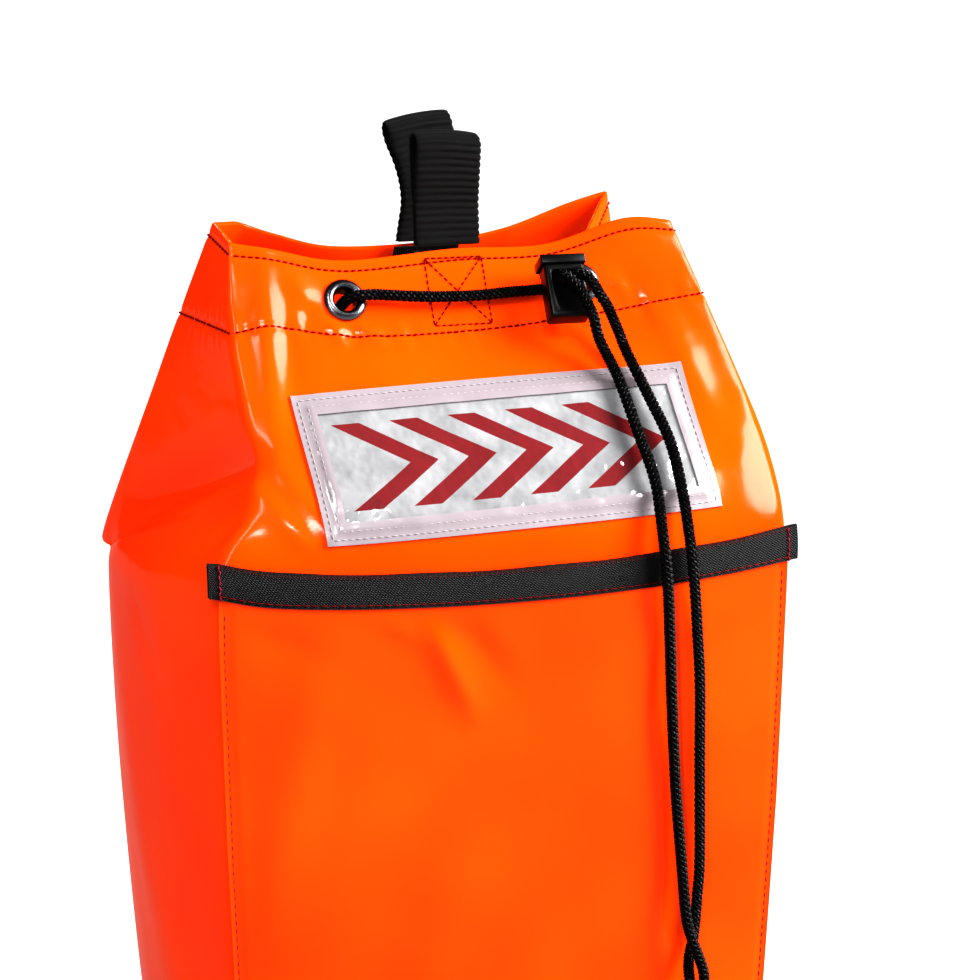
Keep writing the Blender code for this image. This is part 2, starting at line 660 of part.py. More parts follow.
# The cord starts and ends in the lock's slot. It runs along the front hem to the left eyelet,
# back through the mouth, across the outside of the rear hem and forward to the right eyelet.
DRAWCORD = [
    (33.9, -34.2, 347.3), (34, -32, 345.9), (33.7, -29.7, 344.4), (32.4, -27.8, 343.1),
    (29.5, -26.8, 342), (17, -26.3, 341.5), (7, -26.4, 341), (-3, -26.3, 341),
    (-13, -25.9, 341.3), (-23, -25.3, 342), (-32, -24.4, 342.8), (-36.8, -24.7, 343),
    (-40.2, -24.3, 342.7), (-42.3, -22.9, 341.8), (-43.6, -20.7, 340.5), (-44.1, -17.7, 338.7),
    (-44.5, -13.8, 336.5), (-46, -7.5, 333), (-48, 4, 331), (-50, 16, 332.5),
    (-50.8, 28.3, 338.6), (-50.3, 32.5, 340.2), (-49.6, 35.7, 341.5), (-48.2, 38, 342.4),
    (-46, 39.4, 343.1), (-42.6, 39.7, 343.3), (-37.6, 39.2, 343.2), (-26, 39.7, 341.6),
    (-13, 39.9, 340.6), (0, 39.9, 340.6), (13, 39.9, 341.4), (25.5, 39.9, 342.8),
    (37, 39.8, 345.2), (43, 40.2, 345.8), (46.5, 39.9, 345.5), (48.7, 38.5, 344.9),
    (50.1, 36.2, 344), (50.8, 33, 342.7), (51.2, 28.8, 340.9), (50.5, 17, 335), (49.5, 5, 332.5),
    (48, -8, 334.5), (46.9, -14.9, 338.5), (46.3, -18.8, 340.8), (45.6, -21.9, 342.6),
    (44.2, -24.4, 343.7), (41.9, -26.2, 343.5), (40.3, -27.9, 343.4), (39.3, -29.8, 344.3),
    (38.9, -31.9, 345.6), (38.7, -34.5, 347.2),
]
# Both tails come out of the slot, bend down over the lock and hang in front of the pocket.
TAIL_LEFT = [
    (33.8, -34.8, 347.6), (33.9, -36.1, 348.4), (34.3, -37.6, 348.9), (35.2, -39.5, 348.4),
    (36.8, -41.8, 346.5), (38.7, -43.8, 343.7), (40.9, -46.5, 338.5), (42.7, -47.6, 333.4),
    (45.5, -46.2, 325.2), (51.3, -49.5, 312), (53.2, -65, 294.5), (53.2, -65, 294.5),
    (54.5, -79, 279), (54, -88, 262.5), (55.5, -90, 243.5), (57.4, -88, 221.5),
    (58.7, -87.4, 197), (61, -86.5, 164), (63.7, -86.8, 134), (64.8, -88.7, 116.5),
    (66.6, -89.6, 108), (69.6, -89.3, 100.5), (72, -88.6, 94), (72.8, -87.8, 88),
]
TAIL_RIGHT = [
    (38.7, -35.1, 347.6), (38.7, -36.4, 348.5), (39.1, -37.7, 349.2), (40.2, -39.1, 349.3),
    (42, -40.5, 348.4), (43.9, -41.6, 346.4), (46, -41.8, 343.4), (48.1, -41.2, 340.2),
    (50.6, -40.3, 336.8), (54.3, -42.6, 327.1), (57, -43.5, 320), (60.8, -53.5, 307),
    (64.3, -68.5, 291), (64.3, -81, 275),
    (64.5, -88, 259.5), (66, -89, 245.5), (68.5, -87, 224), (70, -86.5, 203),
    (70.6, -85.8, 174.5), (71.5, -84.8, 136), (71, -84.2, 122), (70.4, -83.9, 112),
    (69.6, -83.9, 105), (68, -84.4, 99), (67.2, -86, 93.5), (67.6, -87.6, 88),
]
KNOT_TOP = 87.0
KNOT_CENTRE = (70.2, -87.8)


def knot():
    """Both ends tied together: a rounded lump with two short ends under it."""
    profile = [(5.0, 0), (6.4, -1.6), (7.2, -4.5), (6.6, -7), (7.1, -9.5), (6.2, -12.5), (4.2, -14.5)]
    bm = bmesh.new()
    rings = []
    for k in range(20):
        a = 2 * pi * k / 20
        rings.append([bm.verts.new((KNOT_CENTRE[0] + r * cos(a), KNOT_CENTRE[1] + 0.9 * r * sin(a),
                                    KNOT_TOP + dz)) for r, dz in profile])
    for line, following in zip(rings, rings[1:] + rings[:1]):
        for k in range(len(profile) - 1):
            bm.faces.new((line[k], line[k + 1], following[k + 1], following[k]))
    bm.faces.new([line[0] for line in rings])
    bm.faces.new([line[-1] for line in rings])
    made = add_object("drawcord_knot", bm, "cord")
    for side, lean in (("left", -0.18), ("right", 0.22)):
        frame = Matrix.Translation((KNOT_CENTRE[0] + 12 * lean, KNOT_CENTRE[1], KNOT_TOP - 13))
        frame = frame @ Matrix.Rotation(-lean, 4, "Y")
        end = add_object("knot_end_" + side, solid_cylinder(frame, CORD / 2, -16, 2, 12), "cord")
        end.hide_render = True
        end.display_type = "WIRE"
        join = made.modifiers.new("end_" + side, "BOOLEAN")
        join.operation = "UNION"
        join.object = end


def drawcord():
    tube("drawcord", along(DRAWCORD, 3.0), CORD, "cord")
    tube("drawcord_tail_left", along(TAIL_LEFT, 3.0), CORD, "cord")
    tube("drawcord_tail_right", along(TAIL_RIGHT, 3.0), CORD, "cord")
    knot()


def main():
    for old in list(bpy.data.objects):
        bpy.data.objects.remove(old)
    panels = {wall: panel(wall) for wall in ("front", "back", "left", "right")}
    base_and_contents()
    front_pocket()
    pocket_binding()
    label()
    eyelets(panels)
    loops()
    cord_lock()
    drawcord()


main()
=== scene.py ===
"""The look of the throw rope bag: coated fabric, tape, label, webbing, metal, plastic and cord.

Shapes are worked out in millimetres and turned into metres where their meshes are made. The
walls follow the same seam lines as the CAD panels, sampled more finely and given creases.
"""
from math import cos, pi, radians, sin

import bmesh
import bpy
import numpy as np
from mathutils import Matrix, Vector


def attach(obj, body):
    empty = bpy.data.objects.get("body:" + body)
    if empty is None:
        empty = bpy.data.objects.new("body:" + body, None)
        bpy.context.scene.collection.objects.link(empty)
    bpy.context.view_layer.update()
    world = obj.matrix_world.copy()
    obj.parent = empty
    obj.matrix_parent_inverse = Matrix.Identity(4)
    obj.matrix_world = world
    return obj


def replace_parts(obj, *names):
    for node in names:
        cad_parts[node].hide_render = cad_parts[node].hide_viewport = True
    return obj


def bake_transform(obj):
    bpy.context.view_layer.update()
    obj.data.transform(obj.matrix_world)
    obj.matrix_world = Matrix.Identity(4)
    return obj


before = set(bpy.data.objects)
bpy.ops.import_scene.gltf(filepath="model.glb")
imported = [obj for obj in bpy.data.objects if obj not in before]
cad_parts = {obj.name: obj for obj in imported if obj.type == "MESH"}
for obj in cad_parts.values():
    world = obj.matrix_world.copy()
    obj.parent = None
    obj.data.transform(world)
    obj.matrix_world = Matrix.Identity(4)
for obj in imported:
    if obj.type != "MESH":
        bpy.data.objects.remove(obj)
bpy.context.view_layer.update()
MM = 0.001

# ---- camera ----
# The camera stands left of the front, turned 19 degrees to the right and 12 degrees down.
TURN, TILT = radians(19), radians(12)
CAMERA_PLACE = (-386.7, -1178.1, 526.7)
LENS, SENSOR = 123.4, 36.0


def camera():
    made = bpy.data.objects.new("camera", bpy.data.cameras.new("camera"))
    made.data.lens = LENS
    made.data.sensor_width = SENSOR
    made.location = Vector(CAMERA_PLACE) * MM
    made.rotation_euler = (pi / 2 - TILT, 0, -TURN)
    bpy.context.collection.objects.link(made)
    bpy.context.scene.camera = made


camera()

# ---- cords ----
CORD = 4.5
# The cord starts and ends in the lock's slot. It runs along the front hem to the left eyelet,
# back through the mouth, across the outside of the rear hem and forward to the right eyelet.
DRAWCORD = [
    (33.9, -34.2, 347.3), (34, -32, 345.9), (33.7, -29.7, 344.4), (32.4, -27.8, 343.1),
    (29.5, -26.8, 342), (17, -26.3, 341.5), (7, -26.4, 341), (-3, -26.3, 341),
    (-13, -25.9, 341.3), (-23, -25.3, 342), (-32, -24.4, 342.8), (-36.8, -24.7, 343),
    (-40.2, -24.3, 342.7), (-42.3, -22.9, 341.8), (-43.6, -20.7, 340.5), (-44.1, -17.7, 338.7),
    (-44.5, -13.8, 336.5), (-46, -7.5, 333), (-48, 4, 331), (-50, 16, 332.5),
    (-50.8, 28.3, 338.6), (-50.3, 32.5, 340.2), (-49.6, 35.7, 341.5), (-48.2, 38, 342.4),
    (-46, 39.4, 343.1), (-42.6, 39.7, 343.3), (-37.6, 39.2, 343.2), (-26, 39.7, 341.6),
    (-13, 39.9, 340.6), (0, 39.9, 340.6), (13, 39.9, 341.4), (25.5, 39.9, 342.8),
    (37, 39.8, 345.2), (43, 40.2, 345.8), (46.5, 39.9, 345.5), (48.7, 38.5, 344.9),
    (50.1, 36.2, 344), (50.8, 33, 342.7), (51.2, 28.8, 340.9), (50.5, 17, 335), (49.5, 5, 332.5),
    (48, -8, 334.5), (46.9, -14.9, 338.5), (46.3, -18.8, 340.8), (45.6, -21.9, 342.6),
    (44.2, -24.4, 343.7), (41.9, -26.2, 343.5), (40.3, -27.9, 343.4), (39.3, -29.8, 344.3),
    (38.9, -31.9, 345.6), (38.7, -34.5, 347.2),
]
# Both tails come out of the slot, bend down over the lock and hang in front of the pocket.
TAIL_LEFT = [
    (33.8, -34.8, 347.6), (33.9, -36.1, 348.4), (34.3, -37.6, 348.9), (35.2, -39.5, 348.4),
    (36.8, -41.8, 346.5), (38.7, -43.8, 343.7), (40.9, -46.5, 338.5), (42.7, -47.6, 333.4),
    (45.5, -46.2, 325.2), (51.3, -49.5, 312), (53.2, -65, 294.5), (53.2, -65, 294.5),
    (54.5, -79, 279), (54, -88, 262.5), (55.5, -90, 243.5), (57.4, -88, 221.5),
    (58.7, -87.4, 197), (61, -86.5, 164), (63.7, -86.8, 134), (64.8, -88.7, 116.5),
    (66.6, -89.6, 108), (69.6, -89.3, 100.5), (72, -88.6, 94), (72.8, -87.8, 88),
]
TAIL_RIGHT = [
    (38.7, -35.1, 347.6), (38.7, -36.4, 348.5), (39.1, -37.7, 349.2), (40.2, -39.1, 349.3),
    (42, -40.5, 348.4), (43.9, -41.6, 346.4), (46, -41.8, 343.4), (48.1, -41.2, 340.2),
    (50.6, -40.3, 336.8), (54.3, -42.6, 327.1), (57, -43.5, 320), (60.8, -53.5, 307),
    (64.3, -68.5, 291), (64.3, -81, 275),
    (64.5, -88, 259.5), (66, -89, 245.5), (68.5, -87, 224), (70, -86.5, 203),
    (70.6, -85.8, 174.5), (71.5, -84.8, 136), (71, -84.2, 122), (70.4, -83.9, 112),
    (69.6, -83.9, 105), (68, -84.4, 99), (67.2, -86, 93.5), (67.6, -87.6, 88),
]


# ---- curves through points ----
def between(p0, p1, p2, p3, f):
    """The share f of the way from p1 to p2, on a curve shaped by the points before and after."""
    return p1 + 0.5 * f * (p2 - p0 + f * (2 * p0 - 5 * p1 + 4 * p2 - p3
                           + f * (3 * (p1 - p2) + p3 - p0)))


def distances(path):
    """How far along a path each of its points is."""
    return np.concatenate([[0], np.cumsum(np.linalg.norm(np.diff(path, axis=0), axis=1))])


def pairs(a, b):
    """Two numbers or arrays as two rows of the same length."""
    a, b = np.broadcast_arrays(np.asarray(a, float), np.asarray(b, float))
    return a.ravel(), b.ravel()


def spline(points, ts):
    """Points on the smooth curve through rows of points, one for each t from 0 to len - 1."""
    points = np.asarray(points, float)
    i = np.clip(np.floor(ts).astype(int), 0, len(points) - 2)
    f = (ts - i).reshape(-1, *[1] * (points.ndim - 1))
    p = np.concatenate([2 * points[:1] - points[1:2], points, 2 * points[-1:] - points[-2:-1]])
    return between(p[i], p[i + 1], p[i + 2], p[i + 3], f)


def along(route, spacing):
    """Evenly spaced points along the smooth curve through a route."""
    fine = spline(route, np.linspace(0, len(route) - 1, 24 * (len(route) - 1) + 1))
    lengths = distances(fine)
    wanted = np.linspace(0, lengths[-1], int(round(lengths[-1] / spacing)) + 1)
    return np.stack([np.interp(wanted, lengths, fine[:, a]) for a in range(3)], axis=1)


def frames_along(path):
    """For each point of a path, two directions square to it that turn as little as possible."""
    ahead = np.gradient(path, axis=0)
    ahead /= np.linalg.norm(ahead, axis=1, keepdims=True)
    side = np.cross(ahead[0], (0.3, 0.2, 1.0))
    sides = []
    for direction in ahead:
        side = side - direction * np.dot(side, direction)
        side = side / np.linalg.norm(side)
        sides.append(side)
    sides = np.array(sides)
    return sides, np.cross(ahead, sides)


# ---- the bag's shape: the same seam lines as the CAD ----
LOWER_BODY = [(98, 66, 0), (102, 71, 60), (106, 74, 150), (108, 75, 225), (108, 75, 257)]
FRONT_LEFT_NECK = [(-92, -66, 281), (-89, -46, 307), (-89, -28, 332), (-85, -13, 362)]
FRONT_RIGHT_NECK = [(107, -64, 282), (103, -46, 308), (95, -28, 338), (88, -13, 363)]
BACK_LEFT_NECK = [(-101, 66, 281), (-91, 53, 305), (-80, 41, 334), (-71, 30, 364)]
BACK_RIGHT_NECK = [(102, 66, 281), (95, 53, 306), (86, 41, 337), (78, 30, 370)]
TOP, HEM_LEVEL, RIM_LEVEL = 8.0, 7.0, 7.88      # the mouth's edge and the hem's two lines of stitches
SHOULDER = 5           # the level at which the folded gussets start
CRISP_FROM, CRISP_OVER = 4.4, 0.6      # levels over which the sides turn from smooth to folded
FRONT_BULGE = [3, 7, 8, 9, 9, 12.5, 5, 0.5, 0]
BACK_BULGE = [3, 8, 11, 12, 11.8, 8, 4, 1, 0]
SIDE_BULGE = [5, 12, 16, 17, 16]
FRONT_SAG = [0, 0, 0, 0, 0, -9.5, -5.5]
BACK_SAG = [0, 0, 0, 0, 0, -2, -6]
WALL_KNOTS = [0, 0.1, 0.25, 0.5, 0.7, 0.88, 1]
FRONT_HEM_SAG = [[0, 1, -5, -6.5, -5, -2, 0], [0, -3.5, -8.7, -6.5, -6.6, 1.5, 0]]
BACK_HEM_SAG = [[0, -4, -9, -11, -8, -3, 0], [0, -6, -12.5, -14, -11.5, -4, 0]]
LEFT_KNOTS = [0, 0.27, 0.55, 0.82, 1]
RIGHT_KNOTS = [0, 0.25, 0.5, 0.75, 1]
LEFT_SHOULDER = [(-99, -36, 274.3), (-109, 2, 261.5), (-120, 47, 247.7)]
LEFT_DROP = {3: (1, 3, 6), 4: (5, 9, 16)}      # the folded shoulder presses the side down under it
RIGHT_SHOULDER = [(113, -32, 278), (115, 2, 276), (111, 36, 278)]
LEFT_FOLD = [(-104, 28, 305), (-96, 19, 333), (-86, 7, 367)]
RIGHT_FOLD = [(92, 5, 300), (74, 6, 328), (58, 6, 352)]


def corner(x_sign, y_sign, neck):
    lower = [(x_sign * x, y_sign * y, z) for x, y, z in LOWER_BODY]
    return np.array(lower + neck, float)


def wall_net(left, right, y_sign, bulge, sag, hem_sag):
    """Rows of points across the front or the back, from the base to the mouth."""
    net = []
    for level in range(int(TOP) + 1):
        row = []
        for k, u in enumerate(WALL_KNOTS):
            point = left[level] * (1 - u) + right[level] * u
            point[1] += y_sign * bulge[level] * (1 - abs(2 * u - 1) ** 2.5)
            if level < HEM_LEVEL:
                point[2] += sag[level] * (1 - (2 * u - 1) ** 2)
            else:
                point[2] += hem_sag[level - int(HEM_LEVEL)][k]
            row.append(point)
        net.append(row)
    return np.array(net)


def side_net(front, back, x_sign, knots, shoulder, fold, fold_at, drop):
    """Rows of points along a side, front to back: a bulged box side under a folded gusset."""
    net = []
    for level in range(int(TOP) + 1):
        row = [front[level]]
        for k in (1, 2, 3):
            u = knots[k]
            if level < SHOULDER:
                point = front[level] * (1 - u) + back[level] * u
                point[0] += x_sign * SIDE_BULGE[level] * (1 - (2 * u - 1) ** 2)
                point[2] -= drop.get(level, (0, 0, 0))[k - 1]
            elif level == SHOULDER:
                point = np.array(shoulder[k - 1], float)
            elif k <= fold_at:
                edge = np.array(fold[level - SHOULDER - 1])
                point = front[level] + (edge - front[level]) * k / fold_at
            else:
                rest = (k - fold_at) / (4 - fold_at)
                point = np.array(fold[level - SHOULDER - 1]) * (1 - rest) + back[level] * rest
            row.append(point)
        row.append(back[level])
        net.append(row)
    return np.array(net)


FRONT_LEFT = corner(-1, -1, FRONT_LEFT_NECK)
FRONT_RIGHT = corner(1, -1, FRONT_RIGHT_NECK)
BACK_LEFT = corner(-1, 1, BACK_LEFT_NECK)
BACK_RIGHT = corner(1, 1, BACK_RIGHT_NECK)
NETS = {
    "front": (wall_net(FRONT_LEFT, FRONT_RIGHT, -1, FRONT_BULGE, FRONT_SAG, FRONT_HEM_SAG),
              WALL_KNOTS, 1),
    "back": (wall_net(BACK_LEFT, BACK_RIGHT, 1, BACK_BULGE, BACK_SAG, BACK_HEM_SAG),
             WALL_KNOTS, -1),
    "left": (side_net(FRONT_LEFT, BACK_LEFT, -1, LEFT_KNOTS, LEFT_SHOULDER, LEFT_FOLD, 3,
                      LEFT_DROP), LEFT_KNOTS, -1),
    "right": (side_net(FRONT_RIGHT, BACK_RIGHT, 1, RIGHT_KNOTS, RIGHT_SHOULDER, RIGHT_FOLD, 2,
                       {}), RIGHT_KNOTS, 1),
}


def surface(wall, us, ts):
    """Points on the outside of a wall, one for each pair of u, across it, and t, up it."""
    net, knots, _ = NETS[wall]
    us, ts = pairs(us, ts)
    rows = spline(net, ts)
    inside = np.clip(us, 0, 1)
    place = np.interp(inside, knots, range(len(knots)))
    k = np.clip(np.floor(place).astype(int), 0, len(knots) - 2)
    f = (place - k)[:, None]
    n = np.arange(len(us))
    p = np.concatenate([2 * rows[:, :1] - rows[:, 1:2], rows, 2 * rows[:, -1:] - rows[:, -2:-1]], axis=1)
    p0, p1, p2, p3 = p[n, k], p[n, k + 1], p[n, k + 2], p[n, k + 3]
    smooth = between(p0, p1, p2, p3, f)
    if wall in ("left", "right"):
        crisp = np.clip((ts - CRISP_FROM) / CRISP_OVER, 0, 1)[:, None]
        smooth = smooth * (1 - crisp) + (p1 + (p2 - p1) * f) * crisp
    return smooth + (rows[:, -1] - rows[:, 0]) * (us - inside)[:, None]


def normals(wall, us, ts):
    us, ts = pairs(us, ts)
    across = surface(wall, us + 0.004, ts) - surface(wall, us - 0.004, ts)
    up = surface(wall, us, np.minimum(ts + 0.02, TOP)) - surface(wall, us, np.maximum(ts - 0.02, 0))
    n = np.cross(across, up) * NETS[wall][2]
    return n / np.linalg.norm(n, axis=1, keepdims=True)


def locate(wall, xs, zs):
    """The u and t where a front or back wall passes through each x and z."""
    xs, zs = pairs(xs, zs)
    u, t = np.full(len(xs), 0.5), np.full(len(xs), 6.0)
    for _ in range(30):
        here = surface(wall, u, t)
        du = surface(wall, u + 0.01, t) - here
        back = t > TOP - 0.02
        dt = surface(wall, u, np.where(back, t - 0.01, t + 0.01)) - here
        dt[back] *= -1
        miss_x, miss_z = xs - here[:, 0], zs - here[:, 2]
        det = du[:, 0] * dt[:, 2] - dt[:, 0] * du[:, 2]
        u = np.clip(u + 0.01 * (miss_x * dt[:, 2] - dt[:, 0] * miss_z) / det, -0.05, 1.05)
        t = np.clip(t + 0.01 * (du[:, 0] * miss_z - miss_x * du[:, 2]) / det, 0, TOP)
    return u, t


# Creases and swellings in the fabric: from, to, half width and height (below zero, a valley).
CREASES = [
    ((-112, 20, 261), (-91, -62, 295), 9, -6.4),      # hollow over the left shoulder's fold
    ((-114, 32, 249), (-93, -62, 282), 4.5, 2.6),     # the fold's own edge
    ((-116, 20, 245), (-100, -62, 266), 9, 3.2),      # swelling under it
    ((-110, -58, 262), (-118, -25, 240), 5, 1.3),
    ((-96, -68, 274), (-107, -66, 262), 4, -1.8),     # where the corner turns in over the tape
    ((-73, -14, 358), (-80, -58, 292), 5, 1.5),       # ridge down the front's left, past the label
    ((-81, -60, 290), (-61, -82, 254), 4, 1.5),
    ((-87, -68, 279), (-70, -80, 256), 4, 1.2),
    ((-66, -22, 342), (-70, -45, 308), 5, -0.8),
    ((-64, -20, 352), (-56, -24, 340), 4, 1.2),       # gathers round the eyelets and the hem's seam
    ((-57, -23, 341), (-60, -28, 331), 3, -0.9),
    ((-52, -26, 334), (-47, -29, 327), 2.5, 1.0),
    ((-44, -27, 333), (-40, -30, 327), 2, -0.8),
    ((-38, -28, 333), (-33, -31, 326), 2.5, 0.9),
    ((-33, -22, 345), (-24, -24, 338), 3, 0.8),
    ((30, -27, 334), (36, -30, 326), 3, 0.9),
    ((58, -22, 345), (66, -24, 336), 3, 0.9),
    ((-20, -60, 292), (60, -66, 281), 6, 1.0),        # under the label
    ((-60, -70, 278), (-10, -76, 262), 5, 1.1),
    ((20, -74, 270), (74, -74, 272), 5, 1.0),
    ((-60, -28, 332), (-20, -33, 328), 4, 0.7),
    ((76, -28, 336), (88, -58, 292), 6, 1.2),
    ((64, -22, 345), (60, -40, 318), 8, -1.0),
    ((98, -50, 300), (92, -80, 266), 7, 1.0),
    ((-120, 10, 225), (-108, -40, 60), 14, 1.6),
    ((-122, -20, 235), (-112, -50, 190), 5, -1.0),
    ((110, -30, 270), (118, 30, 210), 9, 1.4),
    ((-40, 84, 250), (-10, 84, 150), 12, 1.6),
    ((50, 84, 262), (30, 86, 190), 9, -1.5),
    ((-60, 70, 285), (-20, 62, 300), 8, 1.3),
    ((40, 62, 300), (70, 70, 280), 8, -1.3),
]
# The same for the pocket, which is a sheet of its own.
POCKET_CREASES = [
    ((-56, -83, 244), (-38, -83, 230), 3, 1.8),
    ((-36, -84, 240), (-17, -83, 201), 4.5, 2.6),
    ((-24, -84, 238), (-4, -83, 210), 5, -1.4),
    ((-98, -80, 236), (-66, -86, 222), 7, -1.2),
    ((-74, -84, 225), (-92, -82, 120), 10, 2.0),
    ((-98, -80, 200), (-100, -80, 60), 6, -0.8),
    ((-20, -86, 150), (-45, -84, 60), 14, 2.4),
    ((60, -84, 225), (52, -86, 170), 8, -1.8),
    ((92, -80, 236), (66, -86, 218), 6, 0.9),
    ((20, -87, 120), (34, -86, 40), 12, -1.0),
]


def relief(points, creases):
    """How far each point is lifted by the creases near it."""
    lift = np.zeros(len(points))
    for start, end, width, height in creases:
        a, d = np.array(start, float), np.array(end, float) - np.array(start, float)
        s = np.clip((points - a) @ d / (d @ d), 0, 1)
        away = np.linalg.norm(points - a - s[:, None] * d, axis=1)
        lift += height * np.exp(-(away / width) ** 2) * (0.35 + 0.65 * np.sin(pi * s))
    return lift


def on_wall(wall, xs, zs, offsets=0.0):
    """Points at a height over a creased front or back wall."""
    u, t = locate(wall, xs, zs)
    points, out = surface(wall, u, t), normals(wall, u, t)
    return points + out * (relief(points, CREASES) + np.asarray(offsets, float).ravel())[:, None]


def wall_frame(wall, x, z):
    """A frame on the plain wall: X level across it, Y up along it, Z straight out of it."""
    u, t = locate(wall, x, z)
    out = Vector(normals(wall, u, t)[0])
    across = Vector((0, 0, 1)).cross(out).normalized()
    turned = Matrix((across, out.cross(across), out)).transposed().to_4x4()
    return Matrix.Translation(Vector(surface(wall, u, t)[0])) @ turned


# ---- materials ----
class Nodes:
    """A short way to write a material's nodes."""

    def __init__(self, name, color, roughness, **sockets):
        self.material = bpy.data.materials.new(name)
        self.material.use_nodes = True
        self.tree = self.material.node_tree
        self.shader = self.tree.nodes["Principled BSDF"]
        self.set("Base Color", (*color, 1))
        self.set("Roughness", roughness)
        for key, value in sockets.items():
            self.set(key.replace("_", " "), value)

    def set(self, socket, value):
        self.shader.inputs[socket].default_value = value

    def add(self, kind, links=(), **values):
        node = self.tree.nodes.new("ShaderNode" + kind)
        for key, value in values.items():
            if key[0].isupper():
                node.inputs[key.replace("_", " ")].default_value = value
            else:
                setattr(node, key, value)
        for socket, source in links:
            self.tree.links.new(source, node.inputs[socket])
        return node

    def link(self, source, socket):
        self.tree.links.new(source, self.shader.inputs[socket])

    def math(self, operation, a, b=None):
        node = self.add("Math", operation=operation)
        for k, value in enumerate((a, b)):
            if isinstance(value, (int, float)):
                node.inputs[k].default_value = value
            elif value is not None:
                self.tree.links.new(value, node.inputs[k])
        return node.outputs[0]

    def wave(self, value, length):
        return self.math("SINE", self.math("MULTIPLY", value, 2 * pi / length))

    def uv(self):
        found = self.add("SeparateXYZ", [(0, self.add("TexCoord").outputs["UV"])])
        return found.outputs[0], found.outputs[1]

    def noise(self, scale, detail=3.0, roughness=0.5):
        place = self.add("TexCoord").outputs["Object"]
        return self.add("TexNoise", [("Vector", place)], Scale=scale, Detail=detail,
                        Roughness=roughness).outputs[0]

    def bump(self, height, distance, strength=1.0, under=None):
        links = [("Height", height)] + ([("Normal", under)] if under else [])
        return self.add("Bump", links, Distance=distance, Strength=strength).outputs[0]

    def ramp(self, factor, *stops):
        node = self.add("ValToRGB", [(0, factor)])
        elements = node.color_ramp.elements
        while len(elements) < len(stops):
            elements.new(0.5)
        for element, (position, color) in zip(elements, stops):
            element.position = position
            element.color = (*color, 1)
        return node.outputs[0]


def coated_fabric():
    """Fluorescent red-orange coating, given a faint painted red glow that keeps it red even where it is in
    shade.
    """
    n = Nodes("coated_fabric", (0.7, 0.042, 0.0), 0.2, Coat_Weight=0.17, Coat_Roughness=0.14,
              Emission_Strength=0.01, Specular_IOR_Level=0.0)
    # painted glow: a faint red emission that lifts the shaded parts of the fabric
    n.set("Emission Color", (1.0, 0.008, 0.0, 1))
    n.link(n.ramp(n.noise(11, 2), (0.3, (0.68, 0.033, 0.0)), (0.7, (0.72, 0.05, 0.0))), "Base Color")
    n.link(n.add("MapRange", [("Value", n.noise(28, 4, 0.6))], To_Min=0.14, To_Max=0.26).outputs[0],
           "Roughness")
    soft = n.bump(n.noise(26, 3, 0.5), 0.0022, 0.4)
    n.link(soft, "Coat Normal")
    n.link(n.bump(n.noise(900, 2), 0.00004, 0.35, soft), "Normal")
    return n.material


def grained(name, color, roughness, scale=900, distance=0.0001, strength=0.4, **sockets):
    """One colour with a fine grain all over it."""
    n = Nodes(name, color, roughness, **sockets)
    n.link(n.bump(n.noise(scale, 2), distance, strength), "Normal")
    return n.material


def thread(name, color):
    return grained(name, color, 0.8, 2500, strength=0.6, Specular_IOR_Level=0.05)


def webbing_weave():
    n = Nodes("webbing", (0.002, 0.002, 0.002), 0.6, Specular_IOR_Level=0.1)
    u, v = n.uv()
    weave = n.math("MULTIPLY", n.wave(v, 0.9), n.wave(u, 0.7))
    n.link(n.ramp(n.math("ADD", weave, n.noise(600, 3)), (0.3, (0.001, 0.001, 0.001)),
                  (1.4, (0.006, 0.006, 0.006))), "Base Color")
    n.link(n.bump(weave, 0.00035, 1.0), "Normal")
    return n.material


def herringbone():
    """Fine slanted ribs, broken into short floats, from UVs in millimetres."""
    n = Nodes("binding_tape", (0.002, 0.002, 0.002), 0.5, Specular_IOR_Level=0.12)
    u, v = n.uv()
    ribs = n.wave(n.math("ADD", u, n.math("MULTIPLY", v, 1.3)), 1.15)
    weave = n.math("MULTIPLY", n.math("ADD", ribs, 1.0), n.math("ADD", n.wave(v, 0.62), 1.3))
    n.link(n.ramp(n.math("MULTIPLY", weave, 0.25), (0.3, (0.001, 0.001, 0.001)),
                  (1.0, (0.007, 0.007, 0.007))), "Base Color")
    n.link(n.bump(weave, 0.0001, 0.7), "Normal")
    return n.material


def reflective_film():
    """Silver-grey film printed with a row of plain red chevrons, from UVs of 0 to 1."""
    n = Nodes("reflective_film", (0.2, 0.2, 0.2), 0.35, Specular_IOR_Level=0.0, Coat_Weight=0.6,
              Coat_Roughness=0.08)
    u, v = n.uv()
    from_middle = n.math("ABSOLUTE", n.math("SUBTRACT", v, 0.5))
    along_row = n.math("ADD", u, n.math("MULTIPLY", from_middle, 0.5))
    cell = n.math("FRACT", n.math("MULTIPLY", n.math("SUBTRACT", along_row, 0.22), 6.2))
    stroke = n.math("LESS_THAN", cell, 0.48)
    inside = n.math("LESS_THAN", from_middle, 0.37)
    ends = n.math("LESS_THAN", n.math("ABSOLUTE", n.math("SUBTRACT", along_row, 0.58)), 0.37)
    print_mask = n.math("MULTIPLY", n.math("MULTIPLY", stroke, inside), ends)
    grey = n.ramp(n.noise(60, 4, 0.6), (0.3, (0.11, 0.11, 0.113)), (0.75, (0.2, 0.2, 0.203)))
    mixed = n.add("Mix", data_type="RGBA")
    n.tree.links.new(print_mask, mixed.inputs[0])
    n.tree.links.new(grey, mixed.inputs[6])
    mixed.inputs[7].default_value = (0.085, 0.0, 0.001, 1)
    n.link(mixed.outputs[2], "Base Color")
    folds = n.bump(n.noise(48, 3, 0.6), 0.004, 0.7)
    n.link(folds, "Normal")
    n.link(folds, "Coat Normal")
    return n.material


